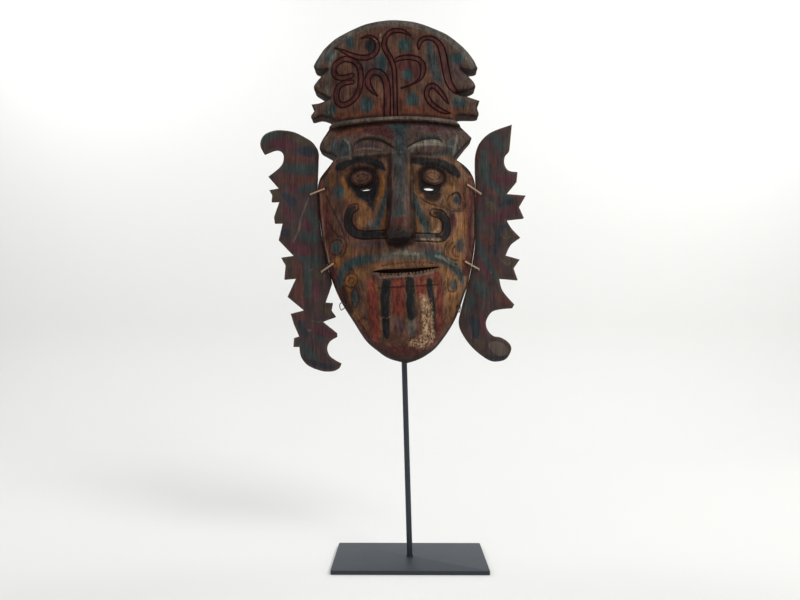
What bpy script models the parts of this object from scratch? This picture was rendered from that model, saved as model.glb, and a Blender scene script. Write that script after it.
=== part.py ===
"""Carved and painted spirit mask with two lashed ear boards, on its steel display stand.

Everything is drawn in millimetres in the mask's own frame and turned to metres when a mesh is made:
u runs across (to the viewer's right), z runs up from the table, p stands out from the flat back of
the mask towards the viewer. The whole mask and its rod then lean a little to the left on the foot.
"""
import math

import bmesh
import bpy
import numpy as np
from mathutils import Matrix, Vector
from mathutils.geometry import delaunay_2d_cdt

for old in list(bpy.data.objects):
    bpy.data.objects.remove(old)

# Driving dimensions, millimetres and degrees
GAP = 0.3               # air left between pieces that touch
PLATE_LENGTH = 200.0    # foot plate, left to right
PLATE_WIDTH = 100.0     # foot plate, front to back
PLATE_THICK = 5.0
ROD_RADIUS = 3.75
ROD_OVER = 1.0          # how far the rod runs past the top of the bracket
BRACKET = (46.0, 74.0, 2.5)     # steel tab between rod and crest: width, height, thickness
BRACKET_DROP = 43.2     # from the crest's top down to the bracket's top
LEAN = 1.6              # lean of rod and mask to the left, at the foot of the rod
WALL = 12.0             # thickness of the carved face over the hollow
LIP = 15.0              # width of the flat land round the hollow
EAR_THICK = 9.0
STRAND = 1.15           # radius of the split rattan ties
STRAND_HOLE = 1.7
WIRE = 0.6              # radius of the wire loops at the jaw
WIRE_HOLE = 1.1
BACK_Y = -(ROD_RADIUS + GAP + BRACKET[2] + GAP)    # the flat back of the mask
MM = 0.001


# Curves
def through(points, spacing):
    """A smooth line through the points, at about the given spacing."""
    pts = [np.array(q[:2], float) for q in points]
    pts = [pts[0]] + pts + [pts[-1]]
    out = []
    for before, a, b, after in zip(pts, pts[1:], pts[2:], pts[3:]):
        steps = max(1, int(round(np.hypot(*(b - a)) / spacing)))
        for k in range(steps):
            t = k / steps
            out.append(0.5 * (2 * a + (b - before) * t + (2 * before - 5 * a + 4 * b - after) * t ** 2
                              + (3 * a - before - 3 * b + after) * t ** 3))
    return np.array(out + [pts[-1]])


def outline(points, spacing):
    """A closed outline; the third number of a point is 1 at a corner and 0 where the line flows."""
    first = next(i for i, q in enumerate(points) if q[2])
    points = points[first:] + points[:first + 1]
    out, run = [], [points[0]]
    for q in points[1:]:
        run.append(q)
        if q[2]:
            out.extend(through(run, spacing)[:-1])
            run = [q]
    return np.array(out)


def ellipse(u, z, a, b, n, turn=0.0):
    ring = []
    for k in range(n):
        w = 2 * math.pi * (k + 0.5) / n
        x, y = a * math.cos(w), b * math.sin(w)
        c, s = math.cos(turn), math.sin(turn)
        ring.append((u + x * c - y * s, z + x * s + y * c))
    return np.array(ring)


def beside(line, offset):
    """The line moved sideways by the offset, to its left."""
    d = np.gradient(line, axis=0)
    d /= np.maximum(np.hypot(d[:, 0], d[:, 1]), 1e-9)[:, None]
    return line + offset * np.stack([-d[:, 1], d[:, 0]], axis=1)


def knots(x, table):
    """Smooth value at x of a short table of (place, value) pairs."""
    kx = np.array([k[0] for k in table], float)
    ky = np.array([k[1] for k in table], float)
    slope = np.gradient(ky, kx)
    x = np.clip(x, kx[0], kx[-1])
    i = np.clip(np.searchsorted(kx, x) - 1, 0, len(kx) - 2)
    h = kx[i + 1] - kx[i]
    t = (x - kx[i]) / h
    return ((2 * t ** 3 - 3 * t ** 2 + 1) * ky[i] + (t ** 3 - 2 * t ** 2 + t) * h * slope[i]
            + (3 * t ** 2 - 2 * t ** 3) * ky[i + 1] + (t ** 3 - t ** 2) * h * slope[i + 1])


def ramp(x, a, b):
    t = np.clip((x - a) / (b - a), 0.0, 1.0)
    return t * t * (3 - 2 * t)


def distance(u, z, line, closed=False):
    """Distance from many points to one line."""
    a = line if closed else line[:-1]
    b = np.roll(line, -1, axis=0) if closed else line[1:]
    best = np.full(len(u), 1e9)
    for (ax, ay), (bx, by) in zip(a, b):
        dx, dy = bx - ax, by - ay
        t = np.clip(((u - ax) * dx + (z - ay) * dy) / max(dx * dx + dy * dy, 1e-12), 0, 1)
        best = np.minimum(best, (u - ax - t * dx) ** 2 + (z - ay - t * dy) ** 2)
    return np.sqrt(best)


def inside(u, z, ring):
    """Which points lie inside a closed ring."""
    hit = np.zeros(len(u), bool)
    for (ax, ay), (bx, by) in zip(ring, np.roll(ring, -1, axis=0)):
        if ay != by:
            cross = (ay > z) != (by > z)
            hit ^= cross & (u < ax + (z - ay) * (bx - ax) / (by - ay))
    return hit


# Outline of the mask, clockwise from the left end of the crest's arc
MASK_EDGE = [
    (-112.7, 675.5, 0), (-105.7, 686.6, 0), (-95.8, 698.6, 0), (-80.3, 710.2, 0), (-58.2, 719.9, 0),
    (-37, 726.8, 0), (-6, 730.2, 0), (26.6, 727, 0), (52.6, 718.3, 0), (72.1, 709.5, 0),
    (88, 697.7, 0), (101.4, 684.1, 0), (111.2, 668.8, 0), (112.2, 663, 0), (107.5, 660, 0),
    (89.5, 658.8, 1), (103.8, 645.7, 0), (108.2, 638.2, 0), (106.4, 634, 0), (98.2, 630.4, 0),
    (79, 626.4, 1), (113.6, 617.8, 1), (110, 609, 0), (111.8, 599.5, 0), (107.5, 595.4, 0),
    (86, 595.6, 0), (78.8, 592.4, 1), (79.2, 586, 1), (101, 567.2, 1), (99.2, 562.5, 0),
    (89.6, 551.5, 0), (73.8, 532, 1), (82.4, 528.4, 0), (90.4, 523.8, 0), (97.6, 517.4, 0),
    (102.9, 507.5, 0), (104, 492, 0), (101, 427, 0),
    (90, 371, 0), (83, 351, 0), (69, 317, 0), (46, 285, 0), (31, 273, 0), (17, 266, 0),
    (3, 262, 1), (-20, 269, 0), (-36, 280, 0), (-51, 294, 0), (-67, 320, 0), (-81, 343, 0),
    (-92, 368, 0), (-101, 398, 0), (-109, 448, 0), (-112, 500, 0), (-109.8, 513.6, 0),
    (-103, 521, 0), (-93.6, 528.9, 0), (-82.6, 539.3, 1), (-98, 548.6, 0), (-106.3, 554.3, 0),
    (-107.8, 560.5, 0), (-104.6, 568.1, 0), (-94.5, 581.7, 0), (-84.4, 592, 1), (-93.5, 597.6, 0),
    (-104.5, 601, 0), (-116.3, 598.9, 0), (-118.4, 604, 0), (-113.8, 610, 1), (-117.5, 619.6, 1),
    (-105, 620, 0), (-92, 624.1, 1), (-110, 636, 0), (-113.4, 641.5, 0), (-111, 648, 0),
    (-94.5, 664.4, 1), (-107.5, 666.4, 0), (-112.4, 670, 0)]

# Outlines of the ear boards, from the upper tip down the outer side and up beside the face
EAR_LEFT = [
    (-182, 584, 0), (-189.6, 576, 0), (-191, 566, 0), (-185.5, 555.4, 1), (-169, 561, 0),
    (-160.5, 556.5, 0), (-158.5, 547, 0), (-163.5, 536, 0), (-180, 523, 1), (-166, 506, 1),
    (-179, 504, 1), (-175, 497, 1), (-176, 488, 1), (-165, 488, 1), (-173, 466, 1), (-172, 458, 1),
    (-161, 458, 1), (-167, 434, 1), (-147, 412, 1), (-164, 410, 1), (-158, 399, 1), (-160, 380, 1),
    (-144, 381, 1), (-156, 356, 1), (-134, 337, 1), (-152, 333, 1), (-148, 319, 1), (-141, 302, 1),
    (-148, 300, 1), (-149, 288, 1), (-141, 288, 1), (-139, 275, 0), (-130, 263, 0), (-112, 255, 0),
    (-97, 254, 0), (-88, 258, 0), (-85, 264, 1), (-93, 268.5, 0), (-101, 275, 0), (-104, 285, 0),
    (-100, 294, 0), (-90, 300, 1), (-90, 305, 1), (-109, 321, 1), (-91, 327, 1), (-97, 336, 1),
    (-95, 346, 1), (-105, 347, 1), (-95.4, 373, 1), (-97.8, 384, 0), (-101.9, 398, 0),
    (-109.8, 448, 0), (-112.8, 500, 0), (-112.2, 520, 0), (-111, 543, 0), (-111, 557, 0),
    (-118, 569, 0), (-129, 577, 0), (-145, 585, 0), (-166, 588, 0)]
EAR_RIGHT = [
    (158, 586, 1), (153, 549, 1), (146.5, 541, 0), (145.5, 530, 0), (151, 521.5, 0), (163, 519, 1),
    (161, 505, 1), (147, 489, 1), (173, 486, 1), (163, 470, 1), (169, 455, 1), (145, 453, 1),
    (151.5, 441, 0), (163, 428, 1), (149.5, 418, 0), (142, 404, 1), (161, 398, 1), (152, 386, 1),
    (157, 370, 1), (132, 373, 1), (136, 356, 0), (151, 337, 1), (148, 332, 1), (132, 331, 0),
    (119.5, 327, 0), (112, 315, 0), (113.5, 304, 0), (121, 295.5, 0), (131, 293, 0), (141, 286, 0),
    (144.5, 277, 0), (138, 265, 0), (127, 261, 0), (114, 263, 0), (95, 278, 0), (81, 297, 0),
    (75.4, 314, 0), (80, 335, 0), (89.2, 365, 0), (94.8, 386, 0), (101.3, 420, 0), (103.9, 465, 0),
    (105, 500, 0), (105, 525, 0), (106.5, 546, 0), (113, 562, 0), (129, 576, 0)]

# Holes: the two eye slits (centre, half sizes), the ties (face hole, ear hole) and the jaw loops
# (hole, outward direction, reach)
SLITS = [(-44.5, 494.4, 8.0, 3.0), (39.0, 492.8, 7.6, 3.2)]
TIES = [((-101.0, 499.0), (-122.0, 495.5)), ((-90.5, 397.0), (-108.5, 389.0)),
        ((91.5, 498.5), (111.3, 489.5)), ((84.2, 394.5), (104.6, 386.0))]
JAW_LOOPS = [((-76.2, 344.6), (-0.91, -0.42), 10.0), ((72.6, 335.6), (0.90, -0.44), 5.6)]

# Carved bands of the crest, centre lines
SCROLLS = [
    [(-61, 651), (-73, 648), (-82, 652), (-85, 661), (-82, 669), (-70, 677), (-58, 672), (-51, 665),
     (-47, 654), (-48, 643), (-50, 632), (-56, 620), (-66, 613), (-74, 611), (-81, 617), (-82, 627),
     (-79, 637), (-71, 642), (-60, 642)],
    [(-77, 693), (-69, 688), (-61, 682), (-50, 677), (-40, 676), (-30, 680), (-24.5, 687), (-25, 696),
     (-30, 702), (-37, 703), (-45, 699)],
    [(-28, 623), (-34, 628), (-39, 636), (-39, 644), (-35, 650), (-28, 653), (-20.5, 650), (-15, 643),
     (-12.5, 633), (-12, 620), (-12, 606), (-13, 595)],
    [(-2.5, 595), (-2, 614), (-1.5, 641), (-1.5, 658), (-7, 673), (-13, 684), (-15, 693), (-12, 703),
     (-5, 709.5), (4, 711), (13, 709), (19, 705)],
    [(2.5, 666), (9, 670.5), (20, 671.5), (30, 669.5), (36, 661), (36, 649), (31.5, 640), (19, 634.5),
     (8, 630)],
    [(32, 685), (32.5, 693), (38, 699), (47, 700), (55.5, 696), (62, 687), (65, 675), (67, 662),
     (68.5, 648), (71, 636), (76, 629), (84, 625)],
    [(68, 610), (63, 618), (57, 626), (50.5, 632), (44, 633), (40, 627), (40, 619), (45, 611),
     (52, 604), (60, 599.5), (69, 597)]]
SCROLL_HALF = 2.7
SCROLL_CUT = (2.0, 1.3)         # depth and half width of the cut line

# Moustache bands, cheek loops and the fillet under the crest
MOUSTACHE = [
    [(-20, 428), (-29, 429), (-42, 430), (-51, 431), (-58.5, 433), (-65, 439), (-69, 447),
     (-68.5, 458), (-64, 466), (-58, 468)],
    [(20, 425), (26, 425), (38, 424), (48, 423.5), (54.5, 426), (58.5, 433), (60, 443), (57, 451),
     (52, 456), (44, 457.5)]]
MOUSTACHE_HALF = 3.6
MOUSTACHE_RISE = 0.6
CHEEK_LOOPS = [(75.5, 476.5, 9.5, 10.0), (71.0, 410.0, 12.5, 13.0), (-80.0, 418.0, 8.5, 10.5)]
FILLET = [(-104, 586), (-87, 586.5), (-53, 588), (0, 589), (52, 587), (80, 584.5), (100, 584)]

MOUSTACHE_CUT = (1.8, 1.3)
CHEEK_CUT = (1.2, 0.13)         # depth, and half width as a share of the loop
FILLET_RISE = 3.6
FILLET_STEPS = (-4.4, -2.2, 1.2, 3.6)   # where the fillet starts, is full, ends being full and ends
FOREHEAD_DROP = 2.2             # how far the forehead is cut back under the fillet
ARC_BEVEL = (12.0, 0.42)        # width and slope of the bevel along the crest's arc
RIM_ROUND = (3.2, 2.2)          # width and drop of the softened outer edge

# Large forms of the face: half width, middle line, height at the middle and at the edge, by z
HALF = [(262, 6), (266, 20), (272, 30), (280, 39.5), (294, 53), (320, 69.5), (343, 81), (368, 91),
        (398, 100), (448, 106), (504, 107.5), (560, 108), (600, 113), (740, 113)]
CENTRE = [(262, 3), (300, 2.5), (343, 0.5), (398, -1.5), (504, -3.5), (600, -3), (740, -2)]
MIDDLE = [(262, 14), (270, 29), (282, 39), (300, 45), (330, 48), (360, 50), (385, 53), (405, 53),
          (430, 51), (460, 49), (500, 49), (525, 51), (545, 53), (560, 48), (575, 40), (586, 34),
          (600, 35), (740, 33)]
EDGE = [(262, 11), (540, 10), (575, 11), (592, 18), (610, 20), (740, 20)]
NOSE_CENTRE = [(417, -2), (440, 0), (490, 2), (545, 3)]
NOSE_HALF = [(417, 9), (421, 13.5), (427, 16.8), (438, 15.6), (460, 14), (500, 13), (545, 13)]
NOSTRILS = (-8.5, 4.5)
NOSE_FOOT = (417.0, 426.0)      # the underside of the nose rises between these heights
NOSTRIL_Z = 421.5
NOSE_HEIGHT = [(417, 27), (426, 31.5), (436, 31), (470, 23), (505, 14), (530, 5), (545, 0)]
EYES = [(-49.0, 508.0, 15.0, 10.4, 0.04), (44.5, 507.2, 14.6, 10.2, -0.16)]
EYE_RISE = 6.5
SOCKETS = [(-44.0, 497.0), (41.0, 495.5)]
SOCKET_HALF = (36.0, 30.0, 33.0)        # across, up and down
SOCKET_DEEP = 12.0
BROW_TOP = [(-57, 549), (-49, 554), (-40, 555), (-22, 550.5), (-12, 545), (-3, 538)]
BROW_LOW = [(-57, 541), (-46, 537.5), (-31, 536), (-19, 535.5), (-3, 536.5)]
BROW_MIRROR = 5.0               # the right brow is the left one seen in u = 2.5, a little lower
BROW_LOWER = (1.0, 1.5)
BROW_RISE = 3.2
BROW_CUT = (2.2, 7.0)           # depth and height of the cut above it
MUZZLE = (3.0, 386.0, 46.0, 22.0, 5.0)  # centre, reach and rise of the swelling round the mouth
MOUTH = [(-36, 381.6), (-15, 381), (4, 381), (21, 382), (37, 384), (49, 386)]
MOUTH_HALF = [(-36, 0.3), (-26, 1.9), (0, 2.3), (24, 1.9), (40, 0.8), (49, 0.3)]
MOUTH_DEEP = 9.0
LIP_UP = [(-42, 0.5), (-30, 5.0), (5, 9.0), (30, 7.6), (52, 0.5)]
LIP_DOWN = [(-44, 0.5), (-33, 5.0), (-10, 7.4), (15, 7.0), (52, 0.5)]
LIP_RISE = 3.4
HOLLOW_Z = (292.0, 515.0)       # the hollow is full width between these heights
HOLLOW_ENDS = (15.0, 36.0)      # and closes over this much below and above them
HOLLOW_SIDE = 0.4               # share of its half width that its sloping side takes
CREST_BLEND = (555.0, 595.0)    # the domed face turns into the flatter crest board between these

edge = outline(MASK_EDGE, 7.0)
arc = through(MASK_EDGE[:13], 6.0)
crest_top = max(q[1] for q in MASK_EDGE)


def broad_form(u, z):
    """The main form: a bowed crest board over a long domed face, with the eye sockets."""
    t = np.clip(np.abs(u - knots(z, CENTRE)) / knots(z, HALF), 0, 1)
    low, high = knots(z, EDGE), knots(z, MIDDLE)
    k = ramp(z, *CREST_BLEND)
    p = low + (high - low) * (1 - t ** (2.3 - 0.3 * k)) ** (0.75 + 0.25 * k)
    mu, mz, across, up, rise = MUZZLE
    p = p + rise * np.exp(-((u - mu) / across) ** 2 - ((z - mz) / up) ** 2)
    across, up, down = SOCKET_HALF
    for su, sz in SOCKETS:
        r2 = ((u - su) / across) ** 2 + ((z - sz) / np.where(z > sz, up, down)) ** 2
        p = p - SOCKET_DEEP * np.clip(1 - r2, 0, 1) ** (1.4 - 0.4 * ramp(z, sz - 14, sz + 14))
    return p


def groove(d, at, depth, half):
    return -depth * np.clip(1 - np.abs(d - at) / half, 0, 1)


def front(u, z):
    """Height of the carved front over the flat back."""
    u, z = np.atleast_1d(u).astype(float), np.atleast_1d(z).astype(float)
    p = broad_form(u, z)
    # nose, with a rounded bridge, and a tip cut back underneath over two nostrils
    s = np.abs(u - knots(z, NOSE_CENTRE)) / knots(z, NOSE_HALF)
    p = p + knots(z, NOSE_HEIGHT) * np.clip(1 - s ** 2.4, 0, 1) ** 0.85 * ramp(z, *NOSE_FOOT) * (z < 545)
    for nu in NOSTRILS:
        p = p - 5.0 * np.exp(-((u - nu) / 4.0) ** 2 - ((z - NOSTRIL_Z) / 2.8) ** 2)
    # eyes, each an oval dome with a carved line inside its rim
    for eu, ez, a, b, turn in EYES:
        x, y = u - eu, z - ez
        x, y = x * math.cos(turn) + y * math.sin(turn), y * math.cos(turn) - x * math.sin(turn)
        r = np.sqrt((x / a) ** 2 + (y / b) ** 2)
        p = p + EYE_RISE * np.clip(1 - r ** 2.2, 0, 1) ** 0.65 + groove(r, 0.7, 1.0, 0.1)
    # brow ridges, highest along the upper edge with a cut above it
    for side in (1, -1):
        x = np.where(side > 0, u, BROW_MIRROR - u)
        top, low = knots(x, BROW_TOP), knots(x, BROW_LOW)
        if side < 0:
            top, low = top - BROW_LOWER[0], low - BROW_LOWER[1]
        v = (z - low) / np.maximum(top - low, 1.0)
        ends = ramp(x, -57, -48) * (1 - ramp(x, -9, -3))
        above = np.clip((z - top) / 0.5, 0, 1)
        cut = BROW_CUT[0] * np.clip(1 - (z - top) / BROW_CUT[1], 0, 1)
        p = p + ends * ((1 - above) * BROW_RISE * np.clip(v, 0, 1) - above * cut)
    # lips and the deep slot of the mouth
    line, half = knots(u, MOUTH), knots(u, MOUTH_HALF)
    up, down = knots(u, LIP_UP), knots(u, LIP_DOWN)
    off = z - line
    lip = np.where(off > 0, off / up, -off / down)
    span = (u > -44) & (u < 53)
    p = p + np.where(span, LIP_RISE * np.sqrt(np.clip(1 - lip ** 2, 0, 1)) * ramp(u, -44, -34)
                     * (1 - ramp(u, 42, 53)), 0)
    p = p - np.where((u > -36) & (u < 49), MOUTH_DEEP * (np.abs(off) < half + 0.02), 0)
    # moustache, loops on the cheeks
    for points in MOUSTACHE:
        d = distance(u, z, through(points, 4.0))
        p = p + MOUSTACHE_RISE * (d < MOUSTACHE_HALF) + groove(d, MOUSTACHE_HALF, *MOUSTACHE_CUT)
    for cu, cz, a, b in CHEEK_LOOPS:
        r = np.sqrt(((u - cu) / a) ** 2 + ((z - cz) / b) ** 2)
        p = p + groove(r, 1.0, *CHEEK_CUT)
    # crest: bands between two cut lines, fillet below, bevel along the arc
    for points in SCROLLS:
        p = p + groove(distance(u, z, through(points, 4.0)), SCROLL_HALF, *SCROLL_CUT)
    off = z - knots(u, FILLET)
    a, b, c, d = FILLET_STEPS
    p = p + FILLET_RISE * (ramp(off, a, b) - ramp(off, c, d))
    p = p - FOREHEAD_DROP * (1 - ramp(-off, 6, 22)) * (off < (a + b) / 2)
    wide, slope = ARC_BEVEL
    p = p - slope * np.clip(wide - distance(u, z, arc), 0, wide)
    # softened outer edge
    d = distance(u, z, edge, closed=True)
    wide, drop = RIM_ROUND
    return p - drop * np.clip(1 - d / wide, 0, 1) ** 1.6


def hollow_end(z):
    """How far a height lies past the full width of the hollow, as a share of its rounded ends."""
    low, high = HOLLOW_Z
    below, above = HOLLOW_ENDS
    return np.maximum(np.maximum((z - high) / above, (low - z) / below), 0.0)


def hollow(u, z):
    """How far inside the lip of the hollow a point lies: 0 on the lip, 1 at its middle."""
    wide = knots(z, HALF) - LIP
    return 1 - np.sqrt((np.abs(u - knots(z, CENTRE)) / np.maximum(wide, 1)) ** 2 + hollow_end(z) ** 2)


def back(u, z):
    """Height of the back: flat land, and the hollow behind the face."""
    u, z = np.atleast_1d(u).astype(float), np.atleast_1d(z).astype(float)
    q = np.clip(hollow(u, z) / HOLLOW_SIDE, 0, 1)
    return (broad_form(u, z) - WALL) * (1 - (1 - q) ** 2)


def clear_runs(line, keep_off, least):
    """The stretches of a line that stay clear of all the given loops."""
    runs, run = [], []
    ok = inside(line[:, 0], line[:, 1], keep_off[0]) if len(keep_off) else np.ones(len(line), bool)
    for i, loop in enumerate(keep_off):
        ok &= distance(line[:, 0], line[:, 1], loop, closed=True) > least
        if i:
            ok &= ~inside(line[:, 0], line[:, 1], loop)
    for good, q in zip(ok, line):
        if good:
            run.append(q)
        elif run:
            runs.append(run)
            run = []
    if run:
        runs.append(run)
    return [r for r in runs if len(r) > 1]


def sheet(loops, lines, spacing):
    """Triangles over an outline with holes, following the lines; the loops' points come first."""
    points, edges = [], []
    for loop in loops:
        k = len(points)
        points += [tuple(q) for q in loop]
        edges += [(k + i, k + (i + 1) % len(loop)) for i in range(len(loop))]
    border = len(points)
    for line in lines:
        for run in clear_runs(np.asarray(line, float), loops, 1.0):
            k = len(points)
            points += [tuple(q) for q in run]
            edges += [(k + i, k + i + 1) for i in range(len(run) - 1)]
    placed = np.array(points)
    low, high = placed[:border].min(axis=0), placed[:border].max(axis=0)
    grid = []
    row, z = 0, low[1] + spacing / 2
    while z < high[1]:
        u = low[0] + (spacing / 2 if row % 2 else 0.0)
        while u < high[0]:
            grid.append((u, z))
            u += spacing
        z += spacing * 0.87
        row += 1
    grid = np.array(grid)
    gu, gz = grid[:, 0], grid[:, 1]
    ok = inside(gu, gz, loops[0])
    for loop in loops[1:]:
        ok &= ~inside(gu, gz, loop)
    grid = grid[ok]
    far = np.array([np.min(np.hypot(*(placed - q).T)) for q in grid]) > spacing * 0.45
    points += [tuple(q) for q in grid[far]]
    verts, _, faces, origin, _, _ = delaunay_2d_cdt([Vector(q) for q in points], edges, [], 0, 1e-5)
    spot = {}
    for new, olds in enumerate(origin):
        for old in olds:
            spot[old] = new
    xy = np.array([(v.x, v.y) for v in verts])
    mid = np.array([xy[list(f)].mean(axis=0) for f in faces])
    ok = inside(mid[:, 0], mid[:, 1], loops[0])
    for loop in loops[1:]:
        ok &= ~inside(mid[:, 0], mid[:, 1], loop)
    faces = [tuple(f) for f, good in zip(faces, ok) if good]
    used = sorted({i for f in faces for i in f})
    index = {old: new for new, old in enumerate(used)}
    rings, k = [], 0
    for loop in loops:
        rings.append([index[spot[k + i]] for i in range(len(loop))])
        k += len(loop)
    return xy[used], [tuple(index[i] for i in f) for f in faces], rings


# Materials, one per sub-part
def material(name, colour, rough, metal=0.0):
    m = bpy.data.materials.new(name)
    m.use_nodes = True
    shade = m.node_tree.nodes["Principled BSDF"]
    linear = [(c / 12.92 if c <= 0.04045 else ((c + 0.055) / 1.055) ** 2.4)
              for c in (int(colour[i:i + 2], 16) / 255 for i in (1, 3, 5))]
    shade.inputs["Base Color"].default_value = (*linear, 1.0)
    shade.inputs["Roughness"].default_value = rough
    shade.inputs["Metallic"].default_value = metal
    m.diffuse_color = (*linear, 1.0)
    return m


# The empty that rod and mask lean on, at the foot of the rod
lean = bpy.data.objects.new("lean", None)
lean.location = (0, 0, PLATE_THICK * MM)
lean.rotation_euler = (0, math.radians(-LEAN), 0)
bpy.context.scene.collection.objects.link(lean)


def piece(name, verts, faces, finish, leaning=True):
    """One closed body from points in (u, y, z) millimetres."""
    mesh = bpy.data.meshes.new(name)
    mesh.from_pydata([tuple(c * MM for c in v) for v in verts], [], faces)
    bm = bmesh.new()
    bm.from_mesh(mesh)
    bmesh.ops.recalc_face_normals(bm, faces=bm.faces)
    bm.to_mesh(mesh)
    bm.free()
    mesh.shade_smooth()
    mesh.set_sharp_from_angle(angle=math.radians(35))
    mesh.materials.append(finish)
    body = bpy.data.objects.new(name, mesh)
    bpy.context.scene.collection.objects.link(body)
    if leaning:
        body.parent = lean
        body.matrix_parent_inverse = Matrix.Translation((0, 0, -PLATE_THICK * MM))
    return body


def board(name, loops, front_lines, back_lines, spacing, high, low, finish):
    """A carved board: a front sheet, a back sheet, and walls round the outline and the holes."""
    fxy, ff, fr = sheet(loops, front_lines, spacing[0])
    bxy, bf, br = sheet(loops, back_lines, spacing[1])
    fp, bp = high(fxy[:, 0], fxy[:, 1]), low(bxy[:, 0], bxy[:, 1])
    verts = [(u, BACK_Y - p, z) for (u, z), p in zip(fxy, fp)]
    n = len(verts)
    verts += [(u, BACK_Y - p, z) for (u, z), p in zip(bxy, bp)]
    faces = ff + [tuple(n + i for i in reversed(f)) for f in bf]
    for a, b in zip(fr, br):
        for i in range(len(a)):
            j = (i + 1) % len(a)
            faces.append((a[i], a[j], n + b[j], n + b[i]))
    return piece(name, verts, faces, finish)


def tube(name, path, radius, sides, finish):
    """A round strand along a closed path of (u, y, z) points."""
    pts = [Vector(q) for q in path]
    n = len(pts)
    verts, faces = [], []
    normal = None
    for i in range(n):
        ahead = (pts[(i + 1) % n] - pts[i]).normalized()
        behind = (pts[i] - pts[i - 1]).normalized()
        way = (ahead + behind).normalized()
        if normal is None:
            normal = way.orthogonal()
        normal = (normal - way * normal.dot(way)).normalized()
        other = way.cross(normal)
        for k in range(sides):
            w = 2 * math.pi * k / sides
            verts.append(pts[i] + radius * (math.cos(w) * normal + math.sin(w) * other))
    for i in range(n):
        j = (i + 1) % n
        shift = 0
        if j == 0:
            gaps = [(verts[(n - 1) * sides] - verts[k]).length for k in range(sides)]
            shift = gaps.index(min(gaps))
        for k in range(sides):
            a, b = i * sides + k, i * sides + (k + 1) % sides
            c, d = j * sides + (k + 1 + shift) % sides, j * sides + (k + shift) % sides
            faces.append((a, b, c, d))
    return piece(name, verts, faces, finish)


def round_bar(name, radius, z0, z1, sides, finish):
    ring = [(radius * math.cos(2 * math.pi * k / sides), radius * math.sin(2 * math.pi * k / sides))
            for k in range(sides)]
    verts = [(x, y, z0) for x, y in ring] + [(x, y, z1) for x, y in ring]
    faces = [tuple(range(sides)), tuple(range(sides, 2 * sides))]
    faces += [(k, (k + 1) % sides, sides + (k + 1) % sides, sides + k) for k in range(sides)]
    return piece(name, verts, faces, finish)


def block(name, x0, x1, y0, y1, z0, z1, finish, leaning=True):
    verts = [(x, y, z) for x in (x0, x1) for y in (y0, y1) for z in (z0, z1)]
    faces = [(0, 1, 3, 2), (4, 6, 7, 5), (0, 4, 5, 1), (2, 3, 7, 6), (0, 2, 6, 4), (1, 5, 7, 3)]
    return piece(name, verts, faces, finish, leaning)


# Mask: lines that the carved front follows
FILLET_STEP = 9.0       # spacing of the mesh points along the fillet
front_lines = [beside(np.vstack([edge, edge[:1]]), -RIM_ROUND[0]), beside(arc, -ARC_BEVEL[0])]
for offset in FILLET_STEPS:
    front_lines.append(through([(u, z + offset) for u, z in FILLET], FILLET_STEP))
for points in SCROLLS:
    centre = through(points, 5.5)
    half, cut = SCROLL_HALF, SCROLL_CUT[1]
    front_lines += [beside(centre, s * (half + k * cut)) for s in (1, -1) for k in (-1, 0, 1)]
for points in MOUSTACHE:
    centre = through(points, 6.0)
    half, cut = MOUSTACHE_HALF, MOUSTACHE_CUT[1]
    front_lines += [beside(centre, s * (half + k * cut)) for s in (1, -1) for k in (-1, 0, 1)]
for cu, cz, a, b in CHEEK_LOOPS:
    for k in (-1, 0, 1):
        share = 1 + k * CHEEK_CUT[1]
        ring = ellipse(cu, cz, a * share, b * share, 14)
        front_lines.append(np.vstack([ring, ring[:1]]))
for eu, ez, a, b, turn in EYES:
    for k, n in ((1.0, 18), (0.92, 18), (0.8, 14), (0.7, 14), (0.6, 12), (0.3, 8)):
        ring = ellipse(eu, ez, a * k, b * k, n, turn)
        front_lines.append(np.vstack([ring, ring[:1]]))
u = np.linspace(-57, -3, 12)
cut_rises = (0.0, 0.5, BROW_CUT[1] / 2, BROW_CUT[1])
for table, lower, rises in ((BROW_TOP, BROW_LOWER[0], cut_rises), (BROW_LOW, BROW_LOWER[1], (0.0, 6.0))):
    for rise in rises:
        front_lines.append(np.stack([u, knots(u, table) + rise], axis=1))
        front_lines.append(np.stack([BROW_MIRROR - u, knots(u, table) + rise - lower], axis=1))
z = np.concatenate([[NOSE_FOOT[1], 432], np.linspace(445, 520, 6), [532, 543]])
for k in (0.0, 0.36, 0.66, 0.88, 1.0):
    for side in (1, -1) if k else (1,):
        front_lines.append(np.stack([knots(z, NOSE_CENTRE) + side * k * knots(z, NOSE_HALF), z], axis=1))
for z in np.linspace(NOSE_FOOT[0] - 0.5, NOSE_FOOT[1] + 4, 4):
    u = np.linspace(-21, 17, 9)
    front_lines.append(np.stack([u, np.full(9, z)], axis=1))
u = np.array([-36, -31, -26, -18, -10, 0, 10, 20, 28, 36, 43, 49.0])
for side in (1, -1):
    for wide in (0.0, 0.35):
        front_lines.append(np.stack([u, knots(u, MOUTH) + side * (knots(u, MOUTH_HALF) + wide)], axis=1))
    reach = knots(u, LIP_UP if side > 0 else LIP_DOWN)
    for k in (0.7, 1.0):
        front_lines.append(np.stack([u, knots(u, MOUTH) + side * reach * k], axis=1))
across, up, down = SOCKET_HALF
for su, sz in SOCKETS:
    for k, n in ((0.55, 14), (0.8, 18), (0.93, 20), (1.0, 20)):
        w = np.linspace(0, 2 * math.pi, n)
        tall = np.where(np.sin(w) > 0, up, down)
        front_lines.append(np.stack([su + across * k * np.cos(w), sz + tall * k * np.sin(w)], axis=1))

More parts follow.
